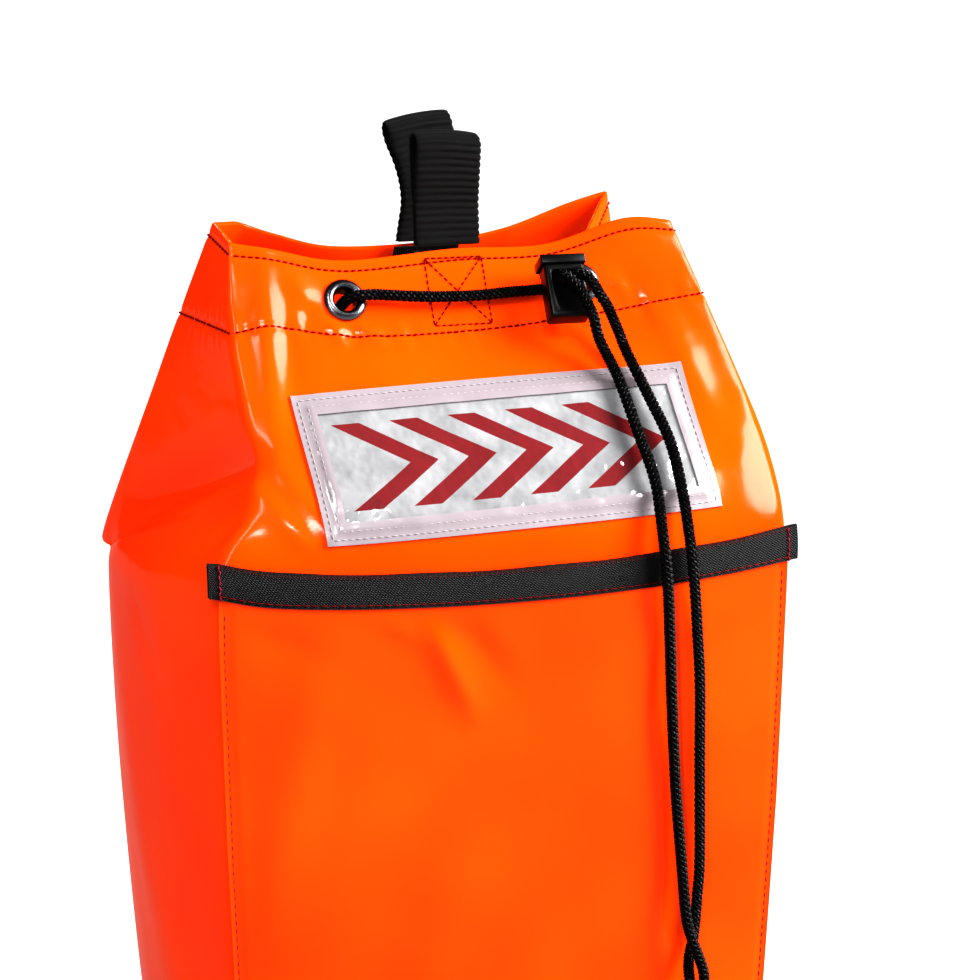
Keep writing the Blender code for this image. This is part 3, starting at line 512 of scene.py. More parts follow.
def clear_vinyl(name, color, alpha, roughness):
    n = Nodes(name, color, roughness, Alpha=alpha, Coat_Weight=0.6, Coat_Roughness=0.04)
    wrinkle = n.bump(n.noise(55, 2.5, 0.5), 0.0016, 0.5)
    fine = n.bump(n.noise(210, 2, 0.5), 0.0003, 0.3, wrinkle)
    n.link(fine, "Normal")
    n.link(fine, "Coat Normal")
    return n.material


def dark_metal():
    n = Nodes("dark_metal", (0.09, 0.09, 0.1), 0.22, Metallic=1.0)
    n.link(n.add("MapRange", [("Value", n.noise(700, 3))], To_Min=0.16, To_Max=0.34).outputs[0],
           "Roughness")
    return n.material


def cord_fibre():
    n = Nodes("cord_fibre", (0.001, 0.001, 0.001), 0.42, Specular_IOR_Level=0.08)
    n.link(n.ramp(n.noise(1400, 3), (0.35, (0.0, 0.0, 0.0)), (0.8, (0.002, 0.002, 0.002))),
           "Base Color")
    n.link(n.bump(n.noise(2600, 2), 0.00012, 0.7), "Normal")
    return n.material


FABRIC = coated_fabric()
WEBBING_BLACK = webbing_weave()
TAPE_BLACK = herringbone()
FILM = reflective_film()
WINDOW = clear_vinyl("clear_vinyl", (0.2, 0.2, 0.21), 0.03, 0.08)
BORDER = clear_vinyl("vinyl_border", (0.17, 0.145, 0.155), 0.9, 0.2)
METAL = dark_metal()
PLASTIC = grained("lock_plastic", (0.002, 0.002, 0.002), 0.3, 1800, 0.00005, 0.5,
                  Specular_IOR_Level=0.12)
STEEL = grained("spring_steel", (0.6, 0.6, 0.62), 0.25, Metallic=1.0)
FIBRE = cord_fibre()
ROPE_YELLOW = grained("floating_rope", (0.8, 0.62, 0.04), 0.6, 1200)
FOAM = grained("foam", (0.75, 0.75, 0.72), 0.9, 500)
DARK_RED_THREAD = thread("dark_red_thread", (0.11, 0.002, 0.001))
PINK_THREAD = thread("pink_thread", (0.16, 0.006, 0.02))
WHITE_THREAD = thread("white_thread", (0.2, 0.18, 0.185))


# ---- making pieces ----
def piece(name, points, faces, material, body, slot, uvs=None, sharp=50):
    """A mesh in millimetres becomes a piece in metres that rides on a body, where one is named."""
    mesh = bpy.data.meshes.new(name)
    mesh.from_pydata([tuple(p) for p in np.asarray(points, float) * MM], [], [tuple(f) for f in faces])
    if uvs is not None:
        layer = mesh.uv_layers.new(name="UVMap")
        index = np.empty(len(mesh.loops), int)
        mesh.loops.foreach_get("vertex_index", index)
        layer.data.foreach_set("uv", np.asarray(uvs, float)[index].ravel())
    mesh.validate()
    mesh.shade_smooth()
    mesh.set_sharp_from_angle(angle=radians(sharp))
    mesh.materials.append(material)
    made = bpy.data.objects.new(name, mesh)
    bpy.context.collection.objects.link(made)
    if body:
        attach(made, body)
    return made


def grid_faces(rows, columns, start=0, closed=False, flip=False):
    faces = []
    for j in range(rows - 1):
        for i in range(columns if closed else columns - 1):
            k = (i + 1) % columns
            a, b = start + j * columns + i, start + j * columns + k
            face = (a, b, b + columns, a + columns)
            faces.append(face[::-1] if flip else face)
    return faces


def sheet_mesh(outer, inner, rows, columns):
    """Points and faces of a thin closed sheet between two grids of the same size."""
    faces = grid_faces(rows, columns)
    count = rows * columns
    faces += grid_faces(rows, columns, count, flip=True)
    rim = list(range(columns)) + [j * columns + columns - 1 for j in range(1, rows)]
    rim += [(rows - 1) * columns + i for i in range(columns - 2, -1, -1)]
    rim += [j * columns for j in range(rows - 2, 0, -1)]
    for a, b in zip(rim, rim[1:] + rim[:1]):
        faces.append((b, a, a + count, b + count))
    return np.concatenate([outer, inner]), faces


def joined(parts):
    """Several (points, faces) as one."""
    points, faces, start = [], [], 0
    for some_points, some_faces in parts:
        points.append(some_points)
        faces += [tuple(i + start for i in face) for face in some_faces]
        start += len(some_points)
    return np.concatenate(points), faces


def sheet_piece(name, outer, inner, rows, columns, material, slot, uvs=None):
    """A sheet on the bag; both of its faces have the same UVs."""
    uvs = None if uvs is None else np.concatenate([uvs, uvs])
    return piece(name, *sheet_mesh(outer, inner, rows, columns), material, "bag", slot, uvs=uvs)


def tube_mesh(path, radii, sides, squash=1.0, square=None):
    """Points and faces of a closed tube along a path; squash flattens it along its second side."""
    one, two = square or frames_along(path)
    angles = (2 * pi * np.arange(sides) / sides)[:, None]
    radii = np.broadcast_to(np.asarray(radii, float), len(path))[:, None, None]
    rings = path[:, None] + radii * (np.cos(angles) * one[:, None]
                                     + squash * np.sin(angles) * two[:, None])
    faces = grid_faces(len(path), sides, closed=True)
    faces += [tuple(range(sides))[::-1], tuple(len(path) * sides - sides + i for i in range(sides))]
    return rings.reshape(-1, 3), faces


def lathe_mesh(profile, place):
    """Points and faces of a closed profile of (radius, height) turned round a frame's Z axis."""
    segments, count = 56, len(profile)
    points, faces = [], []
    for k in range(segments):
        a = 2 * pi * k / segments
        points += [tuple(place @ Vector((r * cos(a), r * sin(a), s))) for r, s in profile]
        for m in range(count):
            a, b = k * count + m, k * count + (m + 1) % count
            faces.append((a, b, (b + count) % (segments * count), (a + count) % (segments * count)))
    return np.array(points), faces


def rounded(outline):
    """A closed outline with each of its corners cut off."""
    points = [np.array(p, float) for p in outline]
    return [tuple(q) for a, b in zip(points, points[1:] + points[:1])
            for q in (a * 0.75 + b * 0.25, a * 0.25 + b * 0.75)]


# ---- the bag's walls ----
COLUMNS = {"front": 104, "right": 68, "back": 78, "left": 68}
SHEET, HEM_SHEET = 1.0, 2.0
HOLE = 5.2      # the radius of the eyelets' holes in the fabric


def ring_of_walls(ts):
    """The outside of all four walls as rows of one closed ring, from the front left corner."""
    blocks = []
    for wall, forward in (("front", True), ("right", True), ("back", False), ("left", False)):
        us = np.arange(COLUMNS[wall]) / COLUMNS[wall]
        grid_u, grid_t = np.meshgrid(us if forward else 1 - us, ts)
        blocks.append(surface(wall, grid_u, grid_t).reshape(len(ts), len(us), 3))
    return np.concatenate(blocks, axis=1)


def soften_corners(ring):
    """Rounds the four corner seams a little, as stiff fabric does."""
    starts = np.cumsum([0, COLUMNS["front"], COLUMNS["right"], COLUMNS["back"]])
    near = [(s + k) % ring.shape[1] for s in starts for k in (-2, -1, 0, 1, 2)]
    for _ in range(5):
        beside = (np.roll(ring, 1, axis=1) + np.roll(ring, -1, axis=1)) / 2
        ring[:, near] = ring[:, near] * 0.5 + beside[:, near] * 0.5
    return ring


def ring_normals(ring):
    n = np.cross(np.roll(ring, -1, axis=1) - np.roll(ring, 1, axis=1), np.gradient(ring, axis=0))
    return n / np.linalg.norm(n, axis=2, keepdims=True)


def seam_pull(ts, ring):
    """The hem's stitching pulls the fabric in and puckers it."""
    t = ts[:, None]
    groove = 0.45 * np.exp(-((t - HEM_LEVEL) / 0.05) ** 2) + 0.35 * np.exp(-((t - RIM_LEVEL) / 0.04) ** 2)
    turn = 2 * pi * np.arange(ring.shape[1]) / ring.shape[1]
    wave = np.sin(46 * turn) + np.sin(71 * turn)
    pucker = 0.12 * wave[None, :] * np.exp(-((t - HEM_LEVEL) / 0.22) ** 2)
    return pucker - groove


def walls():
    outer_ts = np.concatenate([np.linspace(0, 4, 44), np.linspace(4, 6.8, 46)[1:],
                               np.linspace(6.8, TOP, 34)[1:]])
    ring = soften_corners(ring_of_walls(outer_ts))
    out = ring_normals(ring)
    lift = relief(ring.reshape(-1, 3), CREASES).reshape(ring.shape[:2]) + seam_pull(outer_ts, ring)
    behind_pocket = np.clip((outer_ts - 4.0) / 0.35, 0, 1)[:, None]
    lift[:, :COLUMNS["front"]] *= behind_pocket
    ring = ring + out * lift[:, :, None]

    sheet = np.where(outer_ts > HEM_LEVEL, HEM_SHEET, SHEET)
    inner_rows = list(range(len(outer_ts) - 1, 0, -2)) + [0]
    rows = list(ring)
    top, top_out = ring[-1], out[-1]
    up = top - ring[-2]
    up = up / np.linalg.norm(up, axis=1, keepdims=True)
    for a in np.radians((35, 70, 110, 145)):
        rows.append(top - (top_out * (1 - cos(a)) - up * sin(a)) * HEM_SHEET / 2)
    rows += [ring[j] - out[j] * sheet[j] for j in inner_rows]
    columns = ring.shape[1]
    faces = grid_faces(len(rows), columns, closed=True)
    last = (len(rows) - 1) * columns
    faces += [(last + i, last + (i + 1) % columns, (i + 1) % columns, i) for i in range(columns)]
    made = piece("bag_walls", np.concatenate(rows), faces, FABRIC, "bag", "coated_fabric", sharp=65)
    for wall in ("front", "back"):
        for x, z in EYELET_PLACE[wall]:
            cut_hole(made, wall_frame(wall, x, z))
    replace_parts(made, "front_panel", "back_panel", "left_side_panel", "right_side_panel")


def cut_hole(target, place):
    bm = bmesh.new()
    bmesh.ops.create_cone(bm, cap_ends=True, segments=32, radius1=HOLE, radius2=HOLE, depth=14,
                          matrix=place)
    cut_away(target, bm)


def cut_away(target, bm, operation="DIFFERENCE"):
    """Cuts a bmesh in millimetres out of a piece, or joins it on, and keeps the result."""
    mesh = bpy.data.meshes.new("cutter")
    bm.to_mesh(mesh)
    bm.free()
    mesh.transform(Matrix.Scale(MM, 4))
    cutter = bpy.data.objects.new("cutter", mesh)
    bpy.context.collection.objects.link(cutter)
    modifier = target.modifiers.new("cut", "BOOLEAN")
    modifier.operation = operation
    modifier.object = cutter
    apply_modifiers(target)
    bpy.data.objects.remove(cutter)
    bpy.data.meshes.remove(mesh)


def apply_modifiers(target):
    bpy.context.view_layer.update()
    ready = target.evaluated_get(bpy.context.evaluated_depsgraph_get())
    mesh = bpy.data.meshes.new_from_object(ready)
    target.modifiers.clear()
    target.data = mesh


# ---- stitching ----
THREAD_ARCH = np.array([-0.25, 0.22, 0.34, 0.22, -0.25])
THREAD_TAPER = np.array([0.5, 0.95, 1, 0.95, 0.5])


def stitches(name, lines, material, slot, length=2.3, gap=0.8, radius=0.3):
    """Short raised threads along lines; each line is points and the way out at each point."""
    parts = []
    for path, outs in lines:
        steps = distances(path)
        count = int(steps[-1] / (length + gap))
        if count < 1:
            continue
        pitch = steps[-1] / count
        for k in range(count):
            s = np.linspace(0, 1, 5) * (pitch - gap) + k * pitch + gap / 2
            line = np.stack([np.interp(s, steps, path[:, a]) for a in range(3)], axis=1)
            out = np.stack([np.interp(s, steps, outs[:, a]) for a in range(3)], axis=1)
            rise = THREAD_ARCH[:, None] * radius * 1.6
            parts.append(tube_mesh(line + out * rise, radius * THREAD_TAPER, 6))
    return piece(name, *joined(parts), material, "bag", slot)


def level_line(wall, t, offset):
    """A level line drawn on a wall from seam to seam."""
    us = np.linspace(0.01, 0.99, 90)
    points, out = surface(wall, us, t), normals(wall, us, t)
    return points + out * (relief(points, CREASES) + offset)[:, None], out


def straight_line(wall, x0, z0, x1, z1):
    """A line drawn on the front or the back, straight as it is seen from there."""
    xs, zs = np.linspace(x0, x1, 60), np.linspace(z0, z1, 60)
    return on_wall(wall, xs, zs), normals(wall, *locate(wall, xs, zs))


def hem_stitches():
    lines = []
    for wall in NETS:
        lines.append(level_line(wall, HEM_LEVEL, -0.35))
        lines.append(level_line(wall, RIM_LEVEL, -0.3))
    stitches("hem_stitches", lines, DARK_RED_THREAD, "coated_fabric", length=2.1, gap=0.5, radius=0.4)


def loop_stitches():
    """A box with a cross in it, where each webbing loop is sewn to the hem."""
    lines = []
    for wall, (x0, x1), (z0, z1) in (("front", (-11.5, 10.5), (330.5, 353.5)),
                                     ("back", (-8.5, 13.0), (329.0, 350.0))):
        for a, b, c, d in ((x0, z0, x1, z0), (x1, z0, x1, z1), (x1, z1, x0, z1), (x0, z1, x0, z0),
                           (x0, z0, x1, z1), (x0, z1, x1, z0)):
            lines.append(straight_line(wall, a, b, c, d))
    stitches("loop_box_stitches", lines, DARK_RED_THREAD, "coated_fabric", length=1.9, gap=0.5,
             radius=0.32)


# ---- pocket and its tape ----
POCKET_FOOT, POCKET_TOP = 3.0, 257.1
TAPE_HEIGHT, TAPE_SAG, TAPE_END, TAPE_LIFT = 11.2, 5.5, 111.0, 2.2
POCKET_OFFSET, POCKET_SHEET = 2.0, 0.8
POCKET_SEAM = 1.9      # the pocket is sewn down this far inside its side edges


def tape_height(xs):
    """The height of the tape's upper edge at each x."""
    lift = TAPE_LIFT * np.exp(-((xs + TAPE_END) / 14) ** 2)
    return POCKET_TOP - TAPE_SAG * (1 - (xs / TAPE_END) ** 2) + lift


def pocket_points(xs, zs, offsets):
    """Points over the plain front, lifted by the pocket's own creases away from its tape."""
    u, t = locate("front", xs, zs)
    points, out = surface("front", u, t), normals("front", u, t)
    free = np.clip((tape_height(xs) - 12 - zs) / 12, 0, 1) * np.clip((104 - np.abs(xs)) / 12, 0, 1)
    return points + out * (offsets + relief(points, POCKET_CREASES) * free)[:, None], out


def pocket_half(zs):
    """Half the pocket's width at each height."""
    widths = np.array(LOWER_BODY, float)
    return np.interp(zs, widths[:, 2], widths[:, 0]) - 1.0


def pocket():
    rows, columns = 90, 100
    xs, zs = [], []
    for s in np.linspace(0, 1, rows):
        row_z = POCKET_FOOT + (POCKET_TOP - TAPE_SAG - 3 - POCKET_FOOT) * s
        x = pocket_half(row_z) * np.linspace(-1, 1, columns)
        xs.append(x)
        zs.append(POCKET_FOOT + (tape_height(x) - 1.0 - POCKET_FOOT) * s)
    xs, zs = np.concatenate(xs), np.concatenate(zs)
    edge = pocket_half(zs) - np.abs(xs)
    pull = 0.9 * np.exp(-((edge - POCKET_SEAM) / 1.3) ** 2)
    outer = pocket_points(xs, zs, POCKET_OFFSET + POCKET_SHEET - pull)[0]
    inner = pocket_points(xs, zs, POCKET_OFFSET - pull)[0]
    made = sheet_piece("pocket", outer, inner, rows, columns, FABRIC, "coated_fabric")
    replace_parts(made, "front_pocket")

    z = np.linspace(6, 242, 160)
    x = pocket_half(z) - POCKET_SEAM
    lines = [pocket_points(side * x, z, POCKET_OFFSET + POCKET_SHEET - 0.85) for side in (-1, 1)]
    stitches("pocket_side_stitches", lines, PINK_THREAD, "coated_fabric", radius=0.24)


def tape():
    """The tape's section is a narrow upside-down U; its face swells a little between its edges."""
    face, back = POCKET_OFFSET + POCKET_SHEET + 0.3, POCKET_OFFSET - 0.3
    down = np.linspace(-TAPE_HEIGHT, 0, 13)
    swell = 0.3 * np.sin(pi * (down + TAPE_HEIGHT) / TAPE_HEIGHT)
    front = [(face + 0.6 + s * 0.6, d) for d, s in zip(down, swell)]
    fold = [(face + 0.2, 0.5), ((face + back) / 2, 0.75), (back - 0.2, 0.5)]
    rear = [(back - 0.6, d) for d in down[::-2]]
    section = front + fold + rear
    under = [(face, d) for d in down[:-1]] + [(face, -0.25), (face - 0.1, -0.1), ((face + back) / 2, 0.05),
                                              (back + 0.1, -0.1)] + [(back, d) for d in down[::-2]]
    columns = 150
    xs = np.linspace(-TAPE_END, TAPE_END, columns)

    def sweep(path):
        grids = []
        for offset, dz in path:
            wave = 0.18 * np.sin(xs / 7.5) * np.exp(-((dz + 1) / 5) ** 2)
            grids.append(pocket_points(xs, tape_height(xs) + dz + wave, offset)[0])
        return np.concatenate(grids)

    uvs = np.array([(x, v) for v in distances(np.array(section)) for x in xs])
    made = sheet_piece("pocket_tape", sweep(section), sweep(under), len(section), columns, TAPE_BLACK,
                       "binding_tape", uvs)
    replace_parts(made, "pocket_binding_tape")

    x = np.linspace(-107, 107, 150)
    lower = pocket_points(x, tape_height(x) - TAPE_HEIGHT + 1.4, face + 0.78)
    stitches("tape_stitches", [lower], DARK_RED_THREAD, "binding_tape", radius=0.2, gap=0.9)

    whip = []
    for x in np.arange(-106, 107, 1.9):
        spot = x + np.array([0, 0.5, 0.9])
        whip.append(pocket_points(spot, tape_height(spot) + np.array([-0.9, 0.1, 0.7]),
                                  face + np.array([0.75, 0.5, -0.3])))
    stitches("tape_edge_stitches", whip, DARK_RED_THREAD, "binding_tape", length=1.0, gap=0.1,
             radius=0.13)

    ends = []
    dz = np.linspace(0.2, -TAPE_HEIGHT - 0.4, 30)
    for x in (-106.6, 106.6):
        spot = x + 0.25 * np.sin(dz * 2.2)
        ends.append(pocket_points(spot, tape_height(spot) + dz, face + 0.8))
    stitches("tape_end_stitches", ends, PINK_THREAD, "binding_tape", length=1.5, gap=0.3, radius=0.3)


# ---- label ----
LABEL_CENTRE_X, LABEL_WIDTH, LABEL_LOW, LABEL_HIGH = 3.5, 150.0, 265.2, 312.5
LABEL_RISE, LABEL_DRIFT = 0.023, 3.0
FILM_OFFSET, FILM_SHEET, VINYL_SHEET = 0.35, 0.45, 0.5
BORDER_A, BORDER_B = 7.0 / LABEL_WIDTH, 0.12
CRINKLE = 0.1


def label_spots(a, b):
    """The x and z of places on the label, a across it and b up it, each from 0 to 1."""
    xs = LABEL_CENTRE_X + LABEL_WIDTH * (a - 0.5)
    zs = LABEL_LOW + (LABEL_HIGH - LABEL_LOW) * b + LABEL_RISE * (xs - LABEL_CENTRE_X)
    return xs + LABEL_DRIFT * (1 - b), zs


def label_grid(inset_a, inset_b, columns, rows):
    a, b = np.meshgrid(np.linspace(inset_a, 1 - inset_a, columns), np.linspace(inset_b, 1 - inset_b, rows))
    return a.ravel(), b.ravel()


def crinkle(a, b):
    """Shallow dents in the film and its cover, mostly level and close to the edges."""
    waves = np.sin(a * 31 + 3 * np.sin(b * 5)) * np.sin(b * 9 + 2 * a) + 0.6 * np.sin(a * 57 + b * 14)
    return CRINKLE * waves


def label():
    columns, rows = 96, 40
    a, b = label_grid(BORDER_A, BORDER_B, columns, rows)
    top = FILM_OFFSET + FILM_SHEET
    outer = on_wall("front", *label_spots(a, b), top + crinkle(a, b))
    inner = on_wall("front", *label_spots(a, b), FILM_OFFSET)
    uvs = np.stack([(a - BORDER_A) / (1 - 2 * BORDER_A), (b - BORDER_B) / (1 - 2 * BORDER_B)], axis=1)
    film = sheet_piece("label_film", outer, inner, rows, columns, FILM, "reflective_film", uvs)
    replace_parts(film, "label_reflector")

    columns, rows = 132, 56
    a, b = label_grid(0, 0, columns, rows)
    step_a, step_b = BORDER_A * 0.7, BORDER_B * 0.7
    over = np.minimum(np.minimum(a, 1 - a) / step_a, np.minimum(b, 1 - b) / step_b)
    rise = np.clip((over - 0.8) / 0.35, 0, 1)
    low = FILM_OFFSET + (top + 0.28 - FILM_OFFSET) * rise + crinkle(a, b) * rise
    outer = on_wall("front", *label_spots(a, b), low + VINYL_SHEET)
    inner = on_wall("front", *label_spots(a, b), low)
    window = sheet_piece("label_cover", outer, inner, rows, columns, WINDOW, "clear_vinyl")
    window.data.materials.append(BORDER)
    in_border = np.tile(over < 1.8, 2)
    for polygon in window.data.polygons:
        if all(in_border[i] for i in polygon.vertices):
            polygon.material_index = 1
    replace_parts(window, "label_window")

    lines = []
    for inset, raised in ((0.32, 0.0), (0.75, 0.3)):
        da, db = BORDER_A * inset, BORDER_B * inset
        for a0, b0, a1, b1 in ((da, db, 1 - da, db), (1 - da, db, 1 - da, 1 - db),
                               (1 - da, 1 - db, da, 1 - db), (da, 1 - db, da, db)):
            xs, zs = label_spots(np.linspace(a0, a1, 120), np.linspace(b0, b1, 120))
            height = FILM_OFFSET + VINYL_SHEET + 0.05 + raised
            lines.append((on_wall("front", xs, zs, height), normals("front", *locate("front", xs, zs))))
    stitches("label_stitches", lines, WHITE_THREAD, "clear_vinyl", length=1.9, gap=0.7, radius=0.22)


# ---- eyelets ----
EYELET_PLACE = {"front": ((-44.0, 340.5), (46.0, 342.5)), "back": ((-50.0, 341.5), (50.5, 344.0))}
EYELET_OUTLINE = [(4.35, -4.7), (4.3, -2.0), (4.35, 1.0), (4.8, 1.8), (5.6, 2.25), (6.5, 2.2), (7.4, 1.75),
                  (8.0, 1.2), (8.1, 0.75), (7.4, 0.6), (5.0, 0.6), (4.9, -4.0), (6.2, -4.0), (6.3, -4.5),
                  (5.3, -5.1)]
WASHER_OUTLINE = [(5.2, -3.85), (7.4, -3.85), (7.75, -3.5), (7.7, -2.9), (7.2, -2.7), (5.2, -2.75)]


def eyelets():
    for wall in ("front", "back"):
        for side, (x, z) in zip(("left", "right"), EYELET_PLACE[wall]):
            place = wall_frame(wall, x, z)
            name = wall + "_" + side
            cad = "eyelet_" + name
            for kind, outline, node in (("eyelet_ring_", EYELET_OUTLINE, cad),
                                        ("eyelet_backing_", WASHER_OUTLINE, cad + "_washer")):
                made = piece(kind + name, *lathe_mesh(rounded(outline), place), METAL, "bag",
                             "dark_metal")
                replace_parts(made, node)


# ---- webbing loops ----
WEBBING_WIDTH, WEBBING = 25.0, 1.7
RIB = 2.7      # from one cross rib to the next
# Each loop's lean is how far it is shifted across, at steps of its height.
LEAN_STEP = 8.0
LOOPS = {
    "front": {"pivot": (-1.0, -8.0, 357.5), "height": 42.5, "tilt": -0.07,
              "lean": (0.3, 0.1, -0.2, -0.3, -0.3, -0.2, 0.0, 0.0)},
    "back": {"pivot": (2.0, 24.6, 354.8), "height": 48.5, "tilt": 0.14,
             "lean": (0.4, 1.6, 2.7, 2.2, 0.3, -2.6, -4.2, -4.6)},
}
LOOP_EYE = 3.6         # half the width of the eye at the loop's top
LOOP_ROOM = 2.1        # the sewn ends stop this far below the line that the loop folds about


def loop_line(y, z, height):
    """The loop's middle line: up one leg, round a drop-shaped eye and down the other leg."""
    leg = WEBBING / 2 + 0.2
    wide = LOOP_EYE + WEBBING / 2
    crown = height - wide - WEBBING / 2
    rising = [(-leg, 0), (-leg, 8), (-leg * 1.3, 16), (-wide * 0.72, crown * 0.72), (-wide, crown)]
    arc = [(-wide * cos(pi * k / 8), crown + wide * sin(pi * k / 8)) for k in range(1, 8)]
    falling = [(-dy, dz) for dy, dz in reversed(rising)]
    return [(0, y + dy, z + dz) for dy, dz in rising + arc + falling]


def ribbed_band(path, centre_x, lean, tilt, base_z):
    """Webbing along a path in the YZ plane, shifted across by lean: cross ribs, scalloped edges."""
    steps = distances(path)
    ahead = np.gradient(path, axis=0)
    side = np.stack([np.zeros(len(path)), -ahead[:, 2], ahead[:, 1]], axis=1)
    side /= np.linalg.norm(side, axis=1, keepdims=True)
    rib = np.abs(np.sin(pi * steps / RIB))
    across = np.concatenate([np.linspace(-1, -0.86, 4), np.linspace(-0.8, 0.8, 18),
                             np.linspace(0.86, 1, 4)])
    half = WEBBING_WIDTH / 2 - 0.5 * (1 - rib ** 0.6)
    columns = len(across)
    flank = np.sqrt(np.clip(1 - np.abs(across) ** 14, 0.02, 1))
    grids = []
    for face in (1, -1):
        x = centre_x + across[None, :] * half[:, None]
        lift = face * (WEBBING / 2 - 0.5 * (1 - rib[:, None])) * flank[None, :]
        points = np.empty((len(path), columns, 3))
        points[:, :, 0] = x + lean[:, None]
        points[:, :, 1:] = path[:, None, 1:] + side[:, None, 1:] * lift[:, :, None]
        rise = np.clip((path[:, 2] - base_z) / 40, 0, 1)[:, None]
        points[:, :, 2] += tilt * rise * (x - centre_x) - 0.006 * rise * (x - centre_x) ** 2
        grids.append(points.reshape(-1, 3))
    points, faces = sheet_mesh(*grids, len(path), columns)
    uvs = np.array([(s, a * WEBBING_WIDTH / 2) for s in steps for a in across])
    return points, faces, np.concatenate([uvs, uvs])


def webbing_loops():
    for wall, name in (("front", "front_loop"), ("back", "rear_loop")):
        facts = LOOPS[wall]
        x, y, z = facts["pivot"]
        path = along(loop_line(y, z, facts["height"]), 0.45)
        step = np.clip((path[:, 2] - z) / LEAN_STEP, 0, 7)
        lean = spline(np.array(facts["lean"])[:, None], step)[:, 0]
        points, faces, uvs = ribbed_band(path, x, lean, facts["tilt"], z)
        made = piece(name + "_webbing", points, faces, WEBBING_BLACK, name, "webbing", uvs=uvs)
        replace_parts(made, name)
        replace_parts(loop_tab(wall, facts), name + "_sewn_tab")


def loop_tab(wall, facts):
    """Both ends of the loop, one on the other, flat against the inside of the hem."""
    x, y, z = facts["pivot"]
    inward = 1 if wall == "front" else -1
    across = np.linspace(-12.3, 12.3, 20)
    near, far = [], []
    for down in np.linspace(25, 7, 24):
        ripple = 0.15 * abs(sin(pi * down / RIB))
        near.append(on_wall(wall, x + across, z - down, -2.6))
        far.append(on_wall(wall, x + across, z - down, -6.0 - ripple))
    for grid, offset in ((near, -1.8), (far, 1.8)):
        end = np.array([(x + c, y + inward * offset, z - LOOP_ROOM) for c in across])
        grid += [grid[-1] * 0.5 + end * 0.5, end]
    rows, columns = len(near), len(across)
    uvs = np.array([(j * 0.8, c) for j in range(rows) for c in across])
    return sheet_piece("loop_tab_" + wall, np.concatenate(near), np.concatenate(far), rows, columns,
                       WEBBING_BLACK, "webbing", uvs)


# ---- cord lock ----
LOCK_X, LOCK_Z, LOCK_BACK, LOCK_FRONT = 36.5, 335.9, 7.3, 15.7
LOCK_LOW, LOCK_HIGH, LOCK_HALF = -11.5, 9.8, 7.6
SLOT_HALF, SLOT_LOW, SLOT_HIGH = 5.25, 0.8, 7.0
LOCK_WALL, ROOM_HALF, ROOM_DEPTH = 1.6, 6.6, 2.3      # the room inside that the stem slides in
CAP_HALF, CAP_LOW, CAP_HIGH, CAP_OVER = 8.5, 9.3, 12.9, 0.9


def block(low, high, place, radius=0.0, segments=3):
    """A box between two corners of a frame, with its edges rounded."""
    bm = bmesh.new()
    low, high = Vector(low), Vector(high)
    bmesh.ops.create_cube(bm, size=1, matrix=Matrix.Translation((low + high) / 2)
                          @ Matrix.Diagonal((*(high - low), 1)))
    if radius:
        bmesh.ops.bevel(bm, geom=bm.edges[:], offset=radius, segments=segments, profile=0.5,
                        affect="EDGES")
    bmesh.ops.transform(bm, matrix=place, verts=bm.verts)
    return bm


def block_piece(name, bm, body):
    points = [tuple(v.co) for v in bm.verts]
    bm.verts.index_update()
    faces = [[v.index for v in f.verts] for f in bm.faces]
    bm.free()
    return piece(name, points, faces, PLASTIC, body, "lock_plastic", sharp=35)


def soften(made, width):
    modifier = made.modifiers.new("edges", "BEVEL")
    modifier.width = width * MM
    modifier.segments = 2
    modifier.limit_method = "ANGLE"
    modifier.angle_limit = radians(25)
    apply_modifiers(made)
    made.data.shade_smooth()
    made.data.set_sharp_from_angle(angle=radians(50))


def lock_body(place, middle):
    """A slotted block: under the slot its front has a shallow ramp that the cords lie over."""
    whole = block((-LOCK_HALF, LOCK_LOW, LOCK_BACK), (LOCK_HALF, LOCK_HIGH, LOCK_FRONT), place, 1.1, 4)
    body = block_piece("lock_body", whole, "cord_lock")
    cut_away(body, block((-ROOM_HALF, -9.5, middle - ROOM_DEPTH), (ROOM_HALF, 20, middle + ROOM_DEPTH),
                         place))
    cut_away(body, block((-SLOT_HALF, SLOT_LOW, 0), (SLOT_HALF, SLOT_HIGH, 30), place, 1.2))
    cut_away(body, block((-10, SLOT_LOW, 0), (10, SLOT_HIGH, LOCK_BACK + 2.0), place))
    ramp = (place @ Matrix.Translation((0, SLOT_HIGH, LOCK_FRONT - 1.75))
            @ Matrix.Rotation(radians(-6), 4, "X"))
    cut_away(body, block((-5.3, -17.6, 0), (5.3, 0, 12), ramp, 1.5, 4))
    soften(body, 0.2)
    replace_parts(body, "cord_lock_body")


def cord_lock():
    place = wall_frame("front", LOCK_X, LOCK_Z)
    middle = LOCK_BACK + LOCK_WALL + ROOM_DEPTH
    lock_body(place, middle)
    cap = block((-CAP_HALF, CAP_LOW, LOCK_BACK - CAP_OVER), (CAP_HALF, CAP_HIGH, LOCK_FRONT + CAP_OVER),
                place, 0.45)
    button = block_piece("lock_cap", cap, "lock_button")
    cut_away(button, block((-7.95, 5, LOCK_BACK - 0.35), (7.95, 11.9, LOCK_FRONT + 0.35), place))
    cut_away(button, block((-6.3, -1.9, middle - 2.0), (6.3, 12.5, middle + 2.0), place), "UNION")
    cut_away(button, block((-SLOT_HALF, 2.1, middle - 6), (SLOT_HALF, 8.9, middle + 6), place))
    soften(button, 0.15)
    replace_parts(button, "cord_lock_button")


# ---- braided cord ----
STRANDS = 6            # in each of the two directions
BRAID_PITCH = 13.0
BRAID_STEP = 0.5
IN_LOCK = (11.0, 13.0)      # the lengths of the drawcord's two ends that lie in the lock
